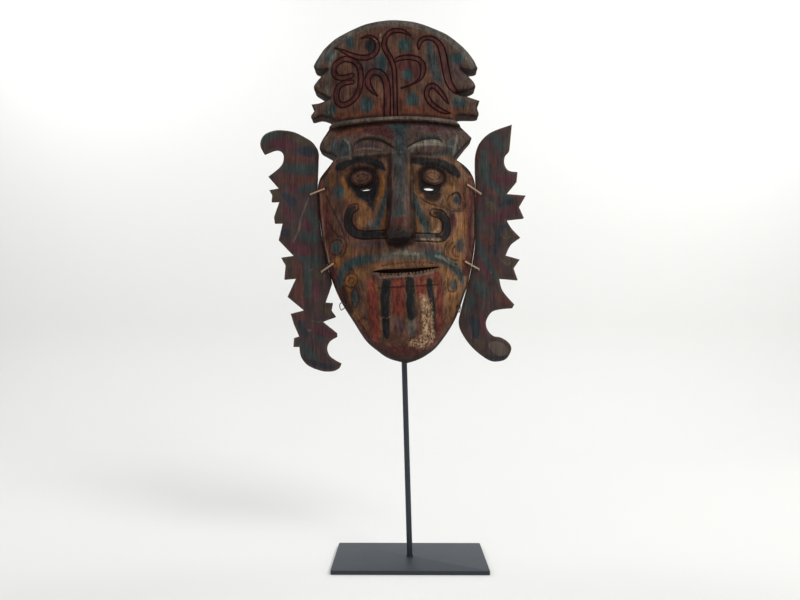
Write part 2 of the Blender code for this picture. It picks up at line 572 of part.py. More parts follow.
# Mask: the lip of the hollow and two steps down its side
back_lines = []
low, high = HOLLOW_Z
for q in (0.0, 0.225 * HOLLOW_SIDE, 0.5 * HOLLOW_SIDE, HOLLOW_SIDE):
    below, above = (reach * (1 - q) for reach in HOLLOW_ENDS)
    z = np.concatenate([low - below * np.sin(np.linspace(1.5, 0.3, 5)), np.linspace(low, high, 14),
                        high + above * np.sin(np.linspace(0.2, 1.5, 7))])
    reach = np.sqrt(np.clip((1 - q) ** 2 - hollow_end(z) ** 2, 0, 1))
    wide = np.maximum(knots(z, HALF) - LIP, 1) * reach
    middle = knots(z, CENTRE)
    right = np.stack([middle + wide, z], axis=1)
    left = np.stack([middle - wide, z], axis=1)[::-1]
    back_lines.append(np.vstack([right, left, right[:1]]))

holes = [ellipse(u, z, a, b, 12) for u, z, a, b in SLITS]
holes += [ellipse(u, z, STRAND_HOLE, STRAND_HOLE, 8) for (u, z), _ in TIES]
holes += [ellipse(u, z, WIRE_HOLE, WIRE_HOLE, 6) for (u, z), _, _ in JAW_LOOPS]
painted_wood = material("painted_wood", "#6b4630", 0.7)
GRID = (9.5, 13.0)      # spacing of the mesh points on the front and the back
board("mask", [edge] + holes, front_lines, back_lines, GRID, front, back, painted_wood)

# Ear boards, flat, with a softened front edge
EAR_STEP = 9.0          # spacing of the mesh points along their outlines
EAR_GRID = (60.0, 60.0)     # and over their flat front and back
for name, points, at in (("ear_board_left", EAR_LEFT, TIES[:2]), ("ear_board_right", EAR_RIGHT, TIES[2:])):
    ear = outline(points, EAR_STEP)
    loops = [ear] + [ellipse(u, z, STRAND_HOLE, STRAND_HOLE, 8) for _, (u, z) in at]
    board(name, loops, [], [], EAR_GRID, lambda u, z: np.full(len(u), EAR_THICK),
          lambda u, z: np.zeros(len(u)), material(name + "_paint", "#4a3433", 0.75))

# Rattan ties, each a ring through a hole in the rim and a hole in the ear board
rattan = material("rattan", "#b59468", 0.6)
tie_names = ("tie_upper_left", "tie_lower_left", "tie_upper_right", "tie_lower_right")
for name, (face, ear) in zip(tie_names, TIES):
    f, e = np.array(face), np.array(ear)
    way = (e - f) / np.hypot(*(e - f))
    pf = float(front(f[:1], f[1:])[0])
    pf = max(pf, float(front(*(f + 2.6 * way)[:, None])[0]))
    steps = [(f, -0.3), (f, pf + 0.8), (f + 1.3 * way, pf + 1.9), (e - 1.2 * way, EAR_THICK + 2.1),
             (e, EAR_THICK + 0.9), (e, -0.3), (e - 1.3 * way, -1.8), (f + 1.3 * way, -1.8)]
    tube(name, [(q[0], BACK_Y - p, q[1]) for q, p in steps], STRAND, 6, rattan)

# Wire loops through the edge of the jaw
wire = material("dark_wire", "#2b2422", 0.6, 0.6)
for name, (hole, out, reach) in zip(("jaw_loop_left", "jaw_loop_right"), JAW_LOOPS):
    h, n = np.array(hole), np.array(out)
    along = np.array([0.0, 1.0])
    pf = max(float(front(*(h + d * along)[:, None])[0]) for d in (0.0, 2.0, 3.0))
    steps = [(h, -0.6), (h, pf + 1.0), (h + 0.7 * n + 1.2 * along, pf + 2.0),
             (h + 0.5 * reach * n + 2.6 * along, pf + 1.2), (h + 0.9 * reach * n + 2.4 * along, pf - 6.0),
             (h + reach * n - 1.6 * along, 3.5), (h + 0.85 * reach * n - 4.6 * along, -1.4),
             (h + 0.4 * reach * n - 3.6 * along, -2.0), (h + 0.05 * reach * n - 1.3 * along, -1.7)]
    tube(name, [(q[0], BACK_Y - p, q[1]) for q, p in steps], WIRE, 6, wire)

# Stand: foot plate, rod, and the tab that holds the back of the crest
steel = material("blackened_steel", "#2c3137", 0.5)
half_x, half_y = PLATE_LENGTH / 2, PLATE_WIDTH / 2
block("base_plate", -half_x, half_x, -half_y, half_y, 0.0, PLATE_THICK, steel, leaning=False)
wide, tall, thick = BRACKET
bracket_top = crest_top - BRACKET_DROP
tilt_room = ROD_RADIUS * math.sin(math.radians(LEAN))     # the rod's end is square to its lean
round_bar("rod", ROD_RADIUS, PLATE_THICK + GAP + tilt_room, bracket_top + ROD_OVER, 24, steel)
block("bracket", -wide / 2, wide / 2, -ROD_RADIUS - GAP - thick, -ROD_RADIUS - GAP,
      bracket_top - tall, bracket_top, steel)

bpy.context.view_layer.update()
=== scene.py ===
import math

import bmesh
import bpy
import numpy as np
from mathutils import Euler, Matrix, Vector, kdtree, noise
from mathutils.geometry import delaunay_2d_cdt


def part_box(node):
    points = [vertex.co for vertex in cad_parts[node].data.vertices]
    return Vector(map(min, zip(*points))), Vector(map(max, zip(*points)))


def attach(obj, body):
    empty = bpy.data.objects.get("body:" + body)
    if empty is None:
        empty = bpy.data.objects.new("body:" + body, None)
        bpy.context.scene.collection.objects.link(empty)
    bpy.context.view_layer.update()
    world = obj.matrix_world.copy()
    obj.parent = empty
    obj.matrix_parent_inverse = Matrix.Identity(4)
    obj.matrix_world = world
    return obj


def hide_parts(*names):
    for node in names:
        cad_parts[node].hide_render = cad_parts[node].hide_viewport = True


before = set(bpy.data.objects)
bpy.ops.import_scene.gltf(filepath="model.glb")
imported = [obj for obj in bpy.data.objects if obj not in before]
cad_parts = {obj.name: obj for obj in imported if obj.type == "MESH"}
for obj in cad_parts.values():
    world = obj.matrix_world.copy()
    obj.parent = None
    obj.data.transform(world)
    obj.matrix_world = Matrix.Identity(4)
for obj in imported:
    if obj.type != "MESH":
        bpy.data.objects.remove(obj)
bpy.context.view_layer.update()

# Camera
# The photograph was taken close by, from a little above the table, so the crest is seen from below.
# Place, tilt and lens come from the four corners of the foot plate.
camera = bpy.data.objects.new("camera", bpy.data.cameras.new("camera"))
camera.data.sensor_width = 36.0
camera.data.lens = 25.87
camera.location = (-0.0074, -0.7911, 0.2933)
camera.rotation_euler = Euler((math.radians(90 + 3.97), 0, math.radians(0.41)), "XYZ")
bpy.context.scene.collection.objects.link(camera)
bpy.context.scene.camera = camera

# Foot plate
# A cut piece of 5 mm mild steel with its edges just eased, powder coated matt black. It lies flat on
# the table and carries the rod.
MM = 0.001


def linear(colour):
    """An sRGB hex colour as a linear one."""
    parts = [int(colour[i:i + 2], 16) / 255 for i in (1, 3, 5)]
    return tuple(c / 12.92 if c <= 0.04045 else ((c + 0.055) / 1.055) ** 2.4 for c in parts) + (1.0,)


def add(tree, kind, inputs=None, **settings):
    """A node with its settings; an input takes a value or another node's output."""
    made = tree.nodes.new("ShaderNode" + kind)
    for key, value in settings.items():
        setattr(made, key, value)
    for key, value in (inputs or {}).items():
        if isinstance(value, bpy.types.NodeSocket):
            tree.links.new(value, made.inputs[key])
        else:
            made.inputs[key].default_value = value
    return made


def new_material(name):
    made = bpy.data.materials.new(name)
    made.use_nodes = True
    return made, made.node_tree, made.node_tree.nodes["Principled BSDF"]


def show(name, mesh, finish, nodes):
    """A finished piece that stands for its CAD nodes and rides on the one body."""
    mesh.materials.append(finish)
    piece = bpy.data.objects.new(name, mesh)
    bpy.context.scene.collection.objects.link(piece)
    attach(piece, "root")
    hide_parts(*nodes)
    return piece


# Powder coat on steel: an even black skin with a fine orange-peel ripple, so highlights break up softly.
# It has a faint blue cast and a little dust on the parts that face up.
coat, tree, shade = new_material("black_powder_coat")
place = add(tree, "TexCoord").outputs["Object"]
peel = add(tree, "TexNoise", {"Vector": place, "Scale": 1 / (1.6 * MM), "Detail": 2.0})
dust = add(tree, "TexNoise", {"Vector": place, "Scale": 1 / (26 * MM), "Detail": 5.0, "Roughness": 0.65})
up = add(tree, "SeparateXYZ", {0: add(tree, "NewGeometry").outputs["Normal"]})
film = add(tree, "Math", {0: dust.outputs["Fac"], 1: up.outputs["Z"]}, operation="MULTIPLY", use_clamp=True)
film = add(tree, "MapRange", {"Value": film.outputs[0], "From Min": 0.2, "From Max": 0.9, "To Max": 0.5})
black = add(tree, "Mix", {0: film.outputs[0], 6: linear("#1f2731"), 7: linear("#39444e")}, data_type="RGBA")
tree.links.new(black.outputs[2], shade.inputs["Base Color"])
rough = add(tree, "MapRange", {"Value": dust.outputs["Fac"], "To Min": 0.42, "To Max": 0.58})
tree.links.new(rough.outputs[0], shade.inputs["Roughness"])
bump = add(tree, "Bump", {"Height": peel.outputs["Fac"], "Strength": 0.12, "Distance": 0.3 * MM})
tree.links.new(bump.outputs[0], shade.inputs["Normal"])


def eased_plate(name, size, middle, thin, corner, ease, tilt=None):
    """A plate, thin along one axis; corner and ease are each a rounding and its number of steps."""
    bm = bmesh.new()
    bmesh.ops.create_cube(bm, size=1.0)
    bmesh.ops.scale(bm, vec=size, verts=bm.verts)
    bmesh.ops.translate(bm, vec=middle, verts=bm.verts)
    corners = [e for e in bm.edges if abs(e.verts[0].co[thin] - e.verts[1].co[thin]) > MM]
    bmesh.ops.bevel(bm, geom=corners, offset=corner[0] * MM, segments=corner[1], affect="EDGES", profile=0.5)
    rims = [e for e in bm.edges if e.calc_face_angle(0) > 1.2]
    bmesh.ops.bevel(bm, geom=rims, offset=ease[0] * MM, segments=ease[1], affect="EDGES", profile=0.5)
    if tilt is not None:
        bm.transform(tilt)
    mesh = bpy.data.meshes.new(name)
    bm.to_mesh(mesh)
    bm.free()
    mesh.shade_smooth()
    mesh.set_sharp_from_angle(angle=math.radians(40))
    return mesh


low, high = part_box("base_plate")
plate = eased_plate("base_plate_finished", high - low, (low + high) / 2, 2, (1.2, 4), (0.45, 3))
show("foot_plate", plate, coat, ["base_plate"])

# Rod
# A round steel bar of 7.5 mm, welded upright on the plate and coated with it. It leans a little to the
# left, and runs up behind the chin to the back of the crest.
LEAN = 1.6
PLATE_THICK = (high.z - low.z) / MM
lean = (Matrix.Translation((0, 0, PLATE_THICK * MM)) @ Matrix.Rotation(math.radians(-LEAN), 4, "Y")
        @ Matrix.Translation((0, 0, -PLATE_THICK * MM)))
ROD_RADIUS = 3.75
ROD_TOP = 688.0


def turned(name, profile, sides):
    """A turned solid from (radius, height) pairs in millimetres, leaning as the rod does."""
    bm = bmesh.new()
    rings = []
    for r, z in profile:
        rings.append([bm.verts.new((r * math.cos(w) * MM, r * math.sin(w) * MM, z * MM))
                      for w in (2 * math.pi * k / sides for k in range(sides))])
    for a, b in zip(rings, rings[1:]):
        for k in range(sides):
            bm.faces.new((a[k], a[(k + 1) % sides], b[(k + 1) % sides], b[k]))
    bm.faces.new(list(reversed(rings[0])))
    bm.faces.new(rings[-1])
    bm.transform(lean)
    mesh = bpy.data.meshes.new(name)
    bm.to_mesh(mesh)
    bm.free()
    mesh.shade_smooth()
    mesh.set_sharp_from_angle(angle=math.radians(40))
    return mesh


# Air between parts that touch, radius of the weld's fillet and of the rod's eased top
GAP = 0.3
WELD = 0.9
EASED = 0.5
foot = PLATE_THICK + GAP
weld = [(ROD_RADIUS - 0.2 + WELD * math.cos(w), foot + 0.15 + WELD * (1 - math.sin(w)) * 0.9)
        for w in (math.radians(a) for a in (0, 25, 50, 75))]
profile = ([(ROD_RADIUS + WELD + 0.1, foot)] + weld + [(ROD_RADIUS, foot + WELD + 0.4),
           (ROD_RADIUS, ROD_TOP - EASED), (ROD_RADIUS - EASED, ROD_TOP)])
show("rod_bar", turned("rod_finished", profile, 48), coat, ["rod"])

# Bracket
# A flat steel tab of 2.5 mm behind the crest, welded to the rod and screwed to the wood. The photograph
# doesn't show it, so it is kept plain.
low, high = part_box("bracket")
BRACKET_WIDE, BRACKET_TALL, BRACKET_THICK, BRACKET_Z = 46.0, 74.0, 2.5, 650.0
tab = eased_plate("bracket_finished", (BRACKET_WIDE * MM, BRACKET_THICK * MM, BRACKET_TALL * MM),
                  (0, (low.y + high.y) / 2, BRACKET_Z * MM), 1, (4, 6), (0.3, 2), lean)
show("crest_bracket", tab, coat, ["bracket"])

# Mask
# Crest, forehead band and face are carved from one block of light hardwood with knife and gouge. The
# grain runs upright. The outline is cut square through, and the front edge is softened by handling.
BACK_Y = -(ROD_RADIUS + GAP + BRACKET_THICK + GAP)
MASK_EDGE = [
    (-112.7, 675.5, 0), (-105.7, 686.6, 0), (-95.8, 698.6, 0), (-80.3, 710.2, 0), (-58.2, 719.9, 0),
    (-37, 726.8, 0), (-6, 730.17, 0), (26.6, 727, 0), (52.6, 718.3, 0), (72.1, 709.5, 0), (88, 697.7, 0),
    (101.4, 684.1, 0), (111.2, 668.8, 0), (112.2, 663, 0), (107.5, 660, 0), (89.5, 658.8, 1),
    (103.8, 645.7, 0), (108.2, 638.2, 0), (106.4, 634, 0), (98.2, 630.4, 0), (79, 626.4, 1),
    (113.6, 617.8, 1), (110, 609, 0), (111.8, 599.5, 0), (107.5, 595.4, 0), (86, 595.6, 0),
    (78.8, 592.4, 1), (79.2, 586, 1), (101, 567.2, 1), (99.2, 562.5, 0), (89.6, 551.5, 0), (73.8, 532, 1),
    (82.4, 528.4, 0), (90.4, 523.8, 0), (97.6, 517.4, 0), (102.9, 507.5, 0), (104, 492, 0), (101, 427, 0),
    (90, 371, 0), (83, 351, 0), (69, 317, 0), (46, 285, 0), (31, 273, 0), (17, 266, 0), (3, 262, 1),
    (-20, 269, 0), (-36, 280, 0), (-51, 294, 0), (-67, 320, 0), (-81, 343, 0), (-92, 368, 0),
    (-101, 398, 0), (-109, 448, 0), (-112, 500, 0), (-109.8, 513.6, 0), (-103, 521, 0), (-93.6, 528.9, 0),
    (-82.6, 539.3, 1), (-98, 548.6, 0), (-106.3, 554.3, 0), (-107.8, 560.5, 0), (-104.6, 568.1, 0),
    (-94.5, 581.7, 0), (-84.4, 592, 1), (-93.5, 597.6, 0), (-104.5, 601, 0), (-116.3, 598.9, 0),
    (-118.4, 604, 0), (-113.8, 610, 1), (-117.5, 619.6, 1), (-105, 620, 0), (-92, 624.1, 1),
    (-110, 636, 0), (-113.4, 641.5, 0), (-111, 648, 0), (-94.5, 664.4, 1), (-107.5, 666.4, 0),
    (-112.4, 670, 0)]
SLITS = [(-44.5, 494.2, 8.0, 2.1), (39.0, 492.8, 7.6, 3.0)]
TIES = [((-101.0, 499.0), (-122.0, 495.5)), ((-90.5, 397.0), (-108.5, 389.0)),
        ((91.5, 498.5), (111.3, 489.5)), ((84.2, 394.5), (104.6, 386.0))]
JAW_LOOPS = [((-76.2, 344.6), (-0.91, -0.42), 10.0), ((72.6, 335.6), (0.90, -0.44), 5.6)]
STRAND_HOLE = 1.7
WIRE_HOLE = 1.1
WALL = 12.0
LIP = 15.0
HOLLOW = (292, 515)
SCROLLS = [
    [(-60, 651, 3.0), (-72, 648.5, 3.4), (-81.5, 652, 3.3), (-84.5, 661, 3.2), (-81, 669.5, 3.4),
     (-70, 675, 3.6), (-58, 671.5, 3.4), (-51, 664.5, 3.3), (-48, 654, 3.2), (-48, 643, 3.2),
     (-50, 632, 3.2), (-56, 620, 3.2), (-65.5, 613, 3.2), (-74, 611.5, 3.3), (-80.5, 617, 3.3),
     (-81.5, 627, 3.4), (-78.5, 636.5, 3.4), (-71, 641, 3.2), (-60, 642, 2.8)],
    [(-82, 692.5, 0.3), (-72, 687, 1.6), (-61, 680.5, 2.8), (-50, 676, 3.2), (-39, 674.8, 3.4),
     (-29.5, 678.5, 3.2), (-24.5, 686.5, 3.0), (-25, 695.5, 2.8), (-30, 702, 2.3), (-38, 704.5, 1.4),
     (-46, 702.5, 0.3)],
    [(-26, 620.5, 0.3), (-32, 627, 2.0), (-37.5, 635.5, 3.4), (-38.5, 644.5, 3.8), (-34.5, 651.5, 4.0),
     (-28, 654, 4.2), (-20, 650.5, 4.2), (-14.8, 642, 4.2), (-12.8, 630, 4.2), (-12.8, 615, 4.2),
     (-13.4, 600, 4.2), (-13.8, 584, 4.2)],
    [(-2.3, 584, 2.5), (-2.2, 614, 2.6), (-2.2, 641, 2.7), (-2.8, 658, 2.9), (-7.2, 672, 3.1),
     (-13.2, 683.5, 3.2), (-15.4, 693, 3.1), (-12.2, 703, 2.9), (-5, 709.6, 2.9), (4, 711.2, 2.8),
     (13, 709.2, 2.0), (21, 703.5, 0.3)],
    [(-1, 668.5, 2.0), (5, 671.2, 2.8), (13, 672.4, 3.0), (22, 672.2, 3.2), (31, 669.2, 3.3),
     (36, 661.5, 3.3), (36, 652, 3.0), (33, 644, 2.0), (27, 638.5, 1.0), (17, 633, 0.5), (6, 629.5, 0.3)],
    [(31.6, 684, 0.6), (32, 691.5, 2.4), (37.5, 698.6, 2.7), (47, 700.4, 2.8), (56, 696, 3.4),
     (62, 686.5, 4.2), (64.5, 675, 4.6), (66.5, 662, 4.6), (68.2, 650, 4.6), (71, 638, 4.2),
     (76.5, 629.5, 3.4), (86, 624.6, 1.4)],
    [(69, 609.5, 0.3), (64, 617.5, 2.4), (58, 625.5, 3.0), (51, 632.4, 3.1), (44.5, 632, 3.1),
     (40.6, 626, 3.0), (40.6, 618, 3.0), (45.5, 609.5, 3.1), (53, 603, 3.0), (62, 598.5, 2.2),
     (71.5, 596.5, 0.3)]]
SCROLL_CUT = (1.6, 1.2)
SCROLL_END = (591.5, 593.5)
MOUSTACHE = [
    [(-20, 430), (-29, 430), (-42, 430), (-51, 431), (-58.5, 433.5), (-65, 440), (-68.5, 449), (-68, 458),
     (-64.5, 465), (-59, 468.5)],
    [(20, 425), (26, 425), (38, 424.6), (48, 424), (54.5, 426), (59, 433), (60, 443), (57, 451),
     (51.5, 456), (44, 457.5)]]
MOUSTACHE_HALF = 4.6
MOUSTACHE_RISE = 0.8
MOUSTACHE_CUT = (1.5, 1.0)
CHEEK_LINES = [
    [(70, 484), (76, 486.5), (81, 482), (81.5, 475), (79, 469.5)],
    [(70, 484), (65, 481), (62.5, 474), (65, 467), (72, 463.5), (80, 465)],
    [(57, 468), (62, 463), (70, 460.5), (80, 461.5), (86, 467), (88, 476), (85, 486)],
    [(43, 455), (49, 453.4), (54, 449.5), (56, 444)],
    [(63, 421), (57, 413), (55.5, 404), (59, 396), (66, 391), (74, 390.5)],
    [(68, 419), (62, 412), (61.5, 403), (66, 396.5), (74, 395.5)],
    [(71, 414), (67, 408), (69, 401.5), (75, 400.5)],
    [(-86, 428), (-79, 425.5), (-76, 418), (-79, 410.5), (-86, 408), (-93, 410.5), (-95.5, 418),
     (-93, 425.5), (-86, 428)], [(-84, 432.5), (-75.5, 429), (-71.5, 421), (-73, 411.5), (-79, 404.5)],
    [(-99, 490), (-92, 474), (-84.5, 458), (-77.5, 442), (-73.5, 431)],
    [(-97, 453), (-89, 440), (-83, 433)],
    [(-75.5, 373), (-72.5, 380), (-66, 382), (-59.5, 379), (-57.5, 372), (-61, 365.5), (-68, 363.8),
     (-74, 367)], [(-70.5, 372), (-67, 376.5), (-62.5, 373.5), (-65, 368.5)], [(-66, 389), (-62, 383.5)],
    [(-62, 364), (-68, 351), (-63, 337), (-56.5, 350), (-62, 364)],
    [(-59, 319), (-53, 323.5), (-46.5, 321.5), (-44.5, 314)], [(-53, 313), (-49, 304), (-44.5, 297.5)],
    [(60, 372), (59.6, 360), (62.5, 355), (69.5, 355.4), (71.6, 363), (69.5, 371)],
    [(-31, 360.4), (-10, 361), (10, 361.4), (30, 362.4), (46, 363.2)],
    [(27, 480), (36, 472.5), (47, 468), (57, 464.5)]]
CHEEK_CUT = (0.65, 0.7)
FILLET = [(-104, 586), (-87, 586.5), (-53, 588), (0, 589), (52, 587), (80, 584.5), (100, 584)]
FILLET_RISE = 3.6
FILLET_SHADE = 2.2
FILLET_STEPS = (-4.4, -2.2, 1.2, 3.6)
ARC_BEVEL = (12.0, 0.42)
# How far the outer edge and the lobes round off, and over what width
RIM = (2.2, 3.2)
LOBE = (3.2, 9)
HALF = [(262, 6), (266, 20), (272, 30), (280, 39.5), (294, 53), (320, 69.5), (343, 81), (368, 91),
        (398, 100), (448, 106), (504, 107.5), (560, 108), (600, 113), (740, 113)]
CENTRE = [(262, 3), (300, 2.5), (343, 0.5), (398, -1.5), (504, -3.5), (600, -3), (740, -2)]
MIDDLE = [(262, 14), (270, 29), (282, 39), (300, 45), (330, 48), (360, 50), (385, 53), (405, 53),
          (430, 51), (460, 49), (500, 49), (525, 51), (545, 53), (560, 48), (575, 40), (586, 34),
          (600, 35), (740, 33)]
EDGE = [(262, 11), (540, 10), (575, 11), (592, 18), (610, 20), (740, 20)]
CREST_BLEND = (555, 595)
# Swell round the mouth: place, half width, half height and rise
MUZZLE = (3, 386, 46, 22, 5.0)
NOSE_CENTRE = [(417, -2), (440, 0), (490, 2), (545, 3)]
NOSE_HALF = [(417, 9), (421, 13.5), (427, 16.8), (438, 15.6), (460, 14), (500, 13), (545, 13)]
NOSE_HEIGHT = [(417, 27), (426, 31.4), (436, 30.9), (470, 23), (505, 14), (530, 5), (545, 0)]
NOSE_FOOT = (417, 426)
NOSTRILS = [(-8.5, 421.5), (4.5, 421.5)]
# Half width, half height and depth
NOSTRIL_SIZE = (4.0, 2.8, 5.0)
EYES = [(-49.0, 508.0, 15.0, 10.4, 0.04), (44.5, 507.2, 14.6, 10.2, -0.16)]
EYE_RISE = 6.5
# Cut lines on the eye's dome, in shares of its size: place, half width and depth in millimetres of the
# one along the lid, then length, height, half width and depth of the almond
LID_LINE = (0.8, 0.075, 0.9)
ALMOND = (0.7, 0.42, 0.085, 0.8)
SOCKETS = [(-44.0, 497.0), (41.0, 495.5)]
# Half width, height above and below the centre, and depth
SOCKET_SIZE = (36, 30, 33, 12.0)
BROW_TOP = [(-57, 549), (-49, 554), (-40, 555), (-22, 550.5), (-12, 545), (-3, 538)]
BROW_LOW = [(-57, 541), (-46, 537.5), (-31, 536), (-19, 535.5), (-3, 536.5)]
BROW_ENDS = (-57, -48, -9, -3)
BROW_RISE = 3.2
BROW_CUT = (2.2, 7.0)
MOUTH = [(-36, 381.6), (-15, 381), (4, 381), (21, 382), (37, 384), (49, 386)]
MOUTH_HALF = [(-36, 0.3), (-26, 1.9), (0, 2.3), (24, 1.9), (40, 0.8), (49, 0.3)]
MOUTH_DEEP = 9.0
LIP_SPAN = (-44, -34, 42, 53)
LIP_RISE = 3.4
LIP_UP = [(-42, 0.5), (-30, 5.0), (5, 9.0), (30, 7.6), (52, 0.5)]
LIP_DOWN = [(-44, 0.5), (-33, 5.0), (-10, 7.4), (15, 7.0), (52, 0.5)]


def through(points, spacing, width=2):
    """A smooth line through the points, at about the given spacing; width is how many numbers it keeps."""
    pts = [np.array(q[:width], float) for q in points]
    pts = [pts[0]] + pts + [pts[-1]]
    out = []
    for before, a, b, after in zip(pts, pts[1:], pts[2:], pts[3:]):
        steps = max(1, int(round(np.hypot(*(b - a)[:2]) / spacing)))
        for k in range(steps):
            t = k / steps
            out.append(0.5 * (2 * a + (b - before) * t + (2 * before - 5 * a + 4 * b - after) * t ** 2
                              + (3 * a - before - 3 * b + after) * t ** 3))
    return np.array(out + [pts[-1]])


def outline(points, spacing):
    """A closed outline; the third number of a point is 1 at a corner and 0 where the line flows."""
    first = next(i for i, q in enumerate(points) if q[2])
    points = points[first:] + points[:first + 1]
    out, run = [], [points[0]]
    for q in points[1:]:
        run.append(q)
        if q[2]:
            out.extend(through(run, spacing)[:-1])
            run = [q]
    return np.array(out)


def ellipse(u, z, a, b, n, turn=0.0):
    w = 2 * math.pi * (np.arange(n) + 0.5) / n
    x, y = a * np.cos(w), b * np.sin(w)
    return np.stack([u + x * math.cos(turn) - y * math.sin(turn),
                     z + x * math.sin(turn) + y * math.cos(turn)], axis=1)


def beside(line, offset):
    """The line moved sideways to its left, by one offset or one for each point."""
    d = np.gradient(line, axis=0)
    d /= np.maximum(np.hypot(d[:, 0], d[:, 1]), 1e-9)[:, None]
    return line + np.atleast_1d(offset)[:, None] * np.stack([-d[:, 1], d[:, 0]], axis=1)


def knots(x, table):
    """Smooth value at x of a short table of (place, value) pairs."""
    kx = np.array([k[0] for k in table], float)
    ky = np.array([k[1] for k in table], float)
    slope = np.gradient(ky, kx)
    x = np.clip(x, kx[0], kx[-1])
    i = np.clip(np.searchsorted(kx, x) - 1, 0, len(kx) - 2)
    h = kx[i + 1] - kx[i]
    t = (x - kx[i]) / h
    return ((2 * t ** 3 - 3 * t ** 2 + 1) * ky[i] + (t ** 3 - 2 * t ** 2 + t) * h * slope[i]
            + (3 * t ** 2 - 2 * t ** 3) * ky[i + 1] + (t ** 3 - t ** 2) * h * slope[i + 1])


def ramp(x, a, b):
    t = np.clip((x - a) / (b - a), 0.0, 1.0)
    return t * t * (3 - 2 * t)


def distance(u, z, line, reach=1e9, closed=False):
    """Distance from many points to one line; points further than the reach from its box are left out."""
    out = np.full(len(u), reach)
    low, high = line.min(axis=0) - reach, line.max(axis=0) + reach
    near = (u > low[0]) & (u < high[0]) & (z > low[1]) & (z < high[1])
    nu, nz = u[near], z[near]
    best = np.full(len(nu), reach * reach)
    ends = np.roll(line, -1, axis=0) if closed else line[1:]
    for (ax, ay), (bx, by) in zip(line, ends):
        dx, dy = bx - ax, by - ay
        t = np.clip(((nu - ax) * dx + (nz - ay) * dy) / max(dx * dx + dy * dy, 1e-12), 0, 1)
        best = np.minimum(best, (nu - ax - t * dx) ** 2 + (nz - ay - t * dy) ** 2)
    out[near] = np.sqrt(best)
    return out


def stroke(u, z, points, reach=14.0):
    """Distance inside a brush stroke, less than 0 outside it; its points give place and half width."""
    line = through(points, 2.0, 3)
    best = np.full(len(u), -reach)
    low, high = line[:, :2].min(axis=0) - reach, line[:, :2].max(axis=0) + reach
    near = (u > low[0]) & (u < high[0]) & (z > low[1]) & (z < high[1])
    nu, nz = u[near], z[near]
    found = np.full(len(nu), -reach)
    for (ax, ay, aw), (bx, by, bw) in zip(line, line[1:]):
        dx, dy = bx - ax, by - ay
        t = np.clip(((nu - ax) * dx + (nz - ay) * dy) / max(dx * dx + dy * dy, 1e-12), 0, 1)
        found = np.maximum(found, aw + t * (bw - aw) - np.hypot(nu - ax - t * dx, nz - ay - t * dy))
    best[near] = found
    return best


def inside(u, z, ring):
    """Which points lie inside a closed ring."""
    hit = np.zeros(len(u), bool)
    for (ax, ay), (bx, by) in zip(ring, np.roll(ring, -1, axis=0)):
        if ay != by:
            cross = (ay > z) != (by > z)
            hit ^= cross & (u < ax + (z - ay) * (bx - ax) / (by - ay))
    return hit


def ripple(u, z, size, seed, stretch=1.0):
    """Soft noise between about -1 and 1; size in millimetres, stretched along the grain."""
    return np.array([noise.noise((a / size + seed, b / (size * stretch), seed * 1.7))
                     for a, b in zip(u, z)])


mask_edge = outline(MASK_EDGE, 1.5)
crest_arc = through(MASK_EDGE[:13], 1.5)


def broad_form(u, z):
    """The main form: a bowed crest board over a long domed face, with the eye sockets."""
    t = np.clip(np.abs(u - knots(z, CENTRE)) / knots(z, HALF), 0, 1)
    low, high = knots(z, EDGE), knots(z, MIDDLE)
    k = ramp(z, *CREST_BLEND)
    p = low + (high - low) * (1 - t ** (2.3 - 0.3 * k)) ** (0.75 + 0.25 * k)
    mu, mz, wide, tall, rise = MUZZLE
    p = p + rise * np.exp(-((u - mu) / wide) ** 2 - ((z - mz) / tall) ** 2)
    wide, above, below, deep = SOCKET_SIZE
    for su, sz in SOCKETS:
        r2 = ((u - su) / wide) ** 2 + ((z - sz) / np.where(z > sz, above, below)) ** 2
        p = p - deep * np.clip(1 - r2, 0, 1) ** (1.4 - 0.4 * ramp(z, sz - 14, sz + 14))
    return p


def cut(d, at, half):
    """1 at the bottom of a carved line, 0 at its sides; rounded as a gouge leaves it."""
    return np.clip(1 - ((d - at) / half) ** 2, 0, 1)


def eye_ring(u, z, eye):
    eu, ez, a, b, turn = eye
    x, y = u - eu, z - ez
    x, y = x * math.cos(turn) + y * math.sin(turn), y * math.cos(turn) - x * math.sin(turn)
    return np.sqrt((x / a) ** 2 + (y / b) ** 2), x / a, y / b


def brow(u, z, left):
    """How far up a brow ridge a point is (1 at its top edge), distance above it, and fade at its ends."""
    x = u if left else 5 - u
    top, low = knots(x, BROW_TOP), knots(x, BROW_LOW)
    if not left:
        top, low = top - 1.0, low - 1.5
    a, b, c, d = BROW_ENDS
    return (z - low) / np.maximum(top - low, 1.0), z - top, ramp(x, a, b) * (1 - ramp(x, c, d))


def nicked(u, first, step, half):
    """Where short knife cuts lie that repeat along the lips."""
    turns = (u - first) / step
    return np.abs(turns - np.round(turns)) * step < half


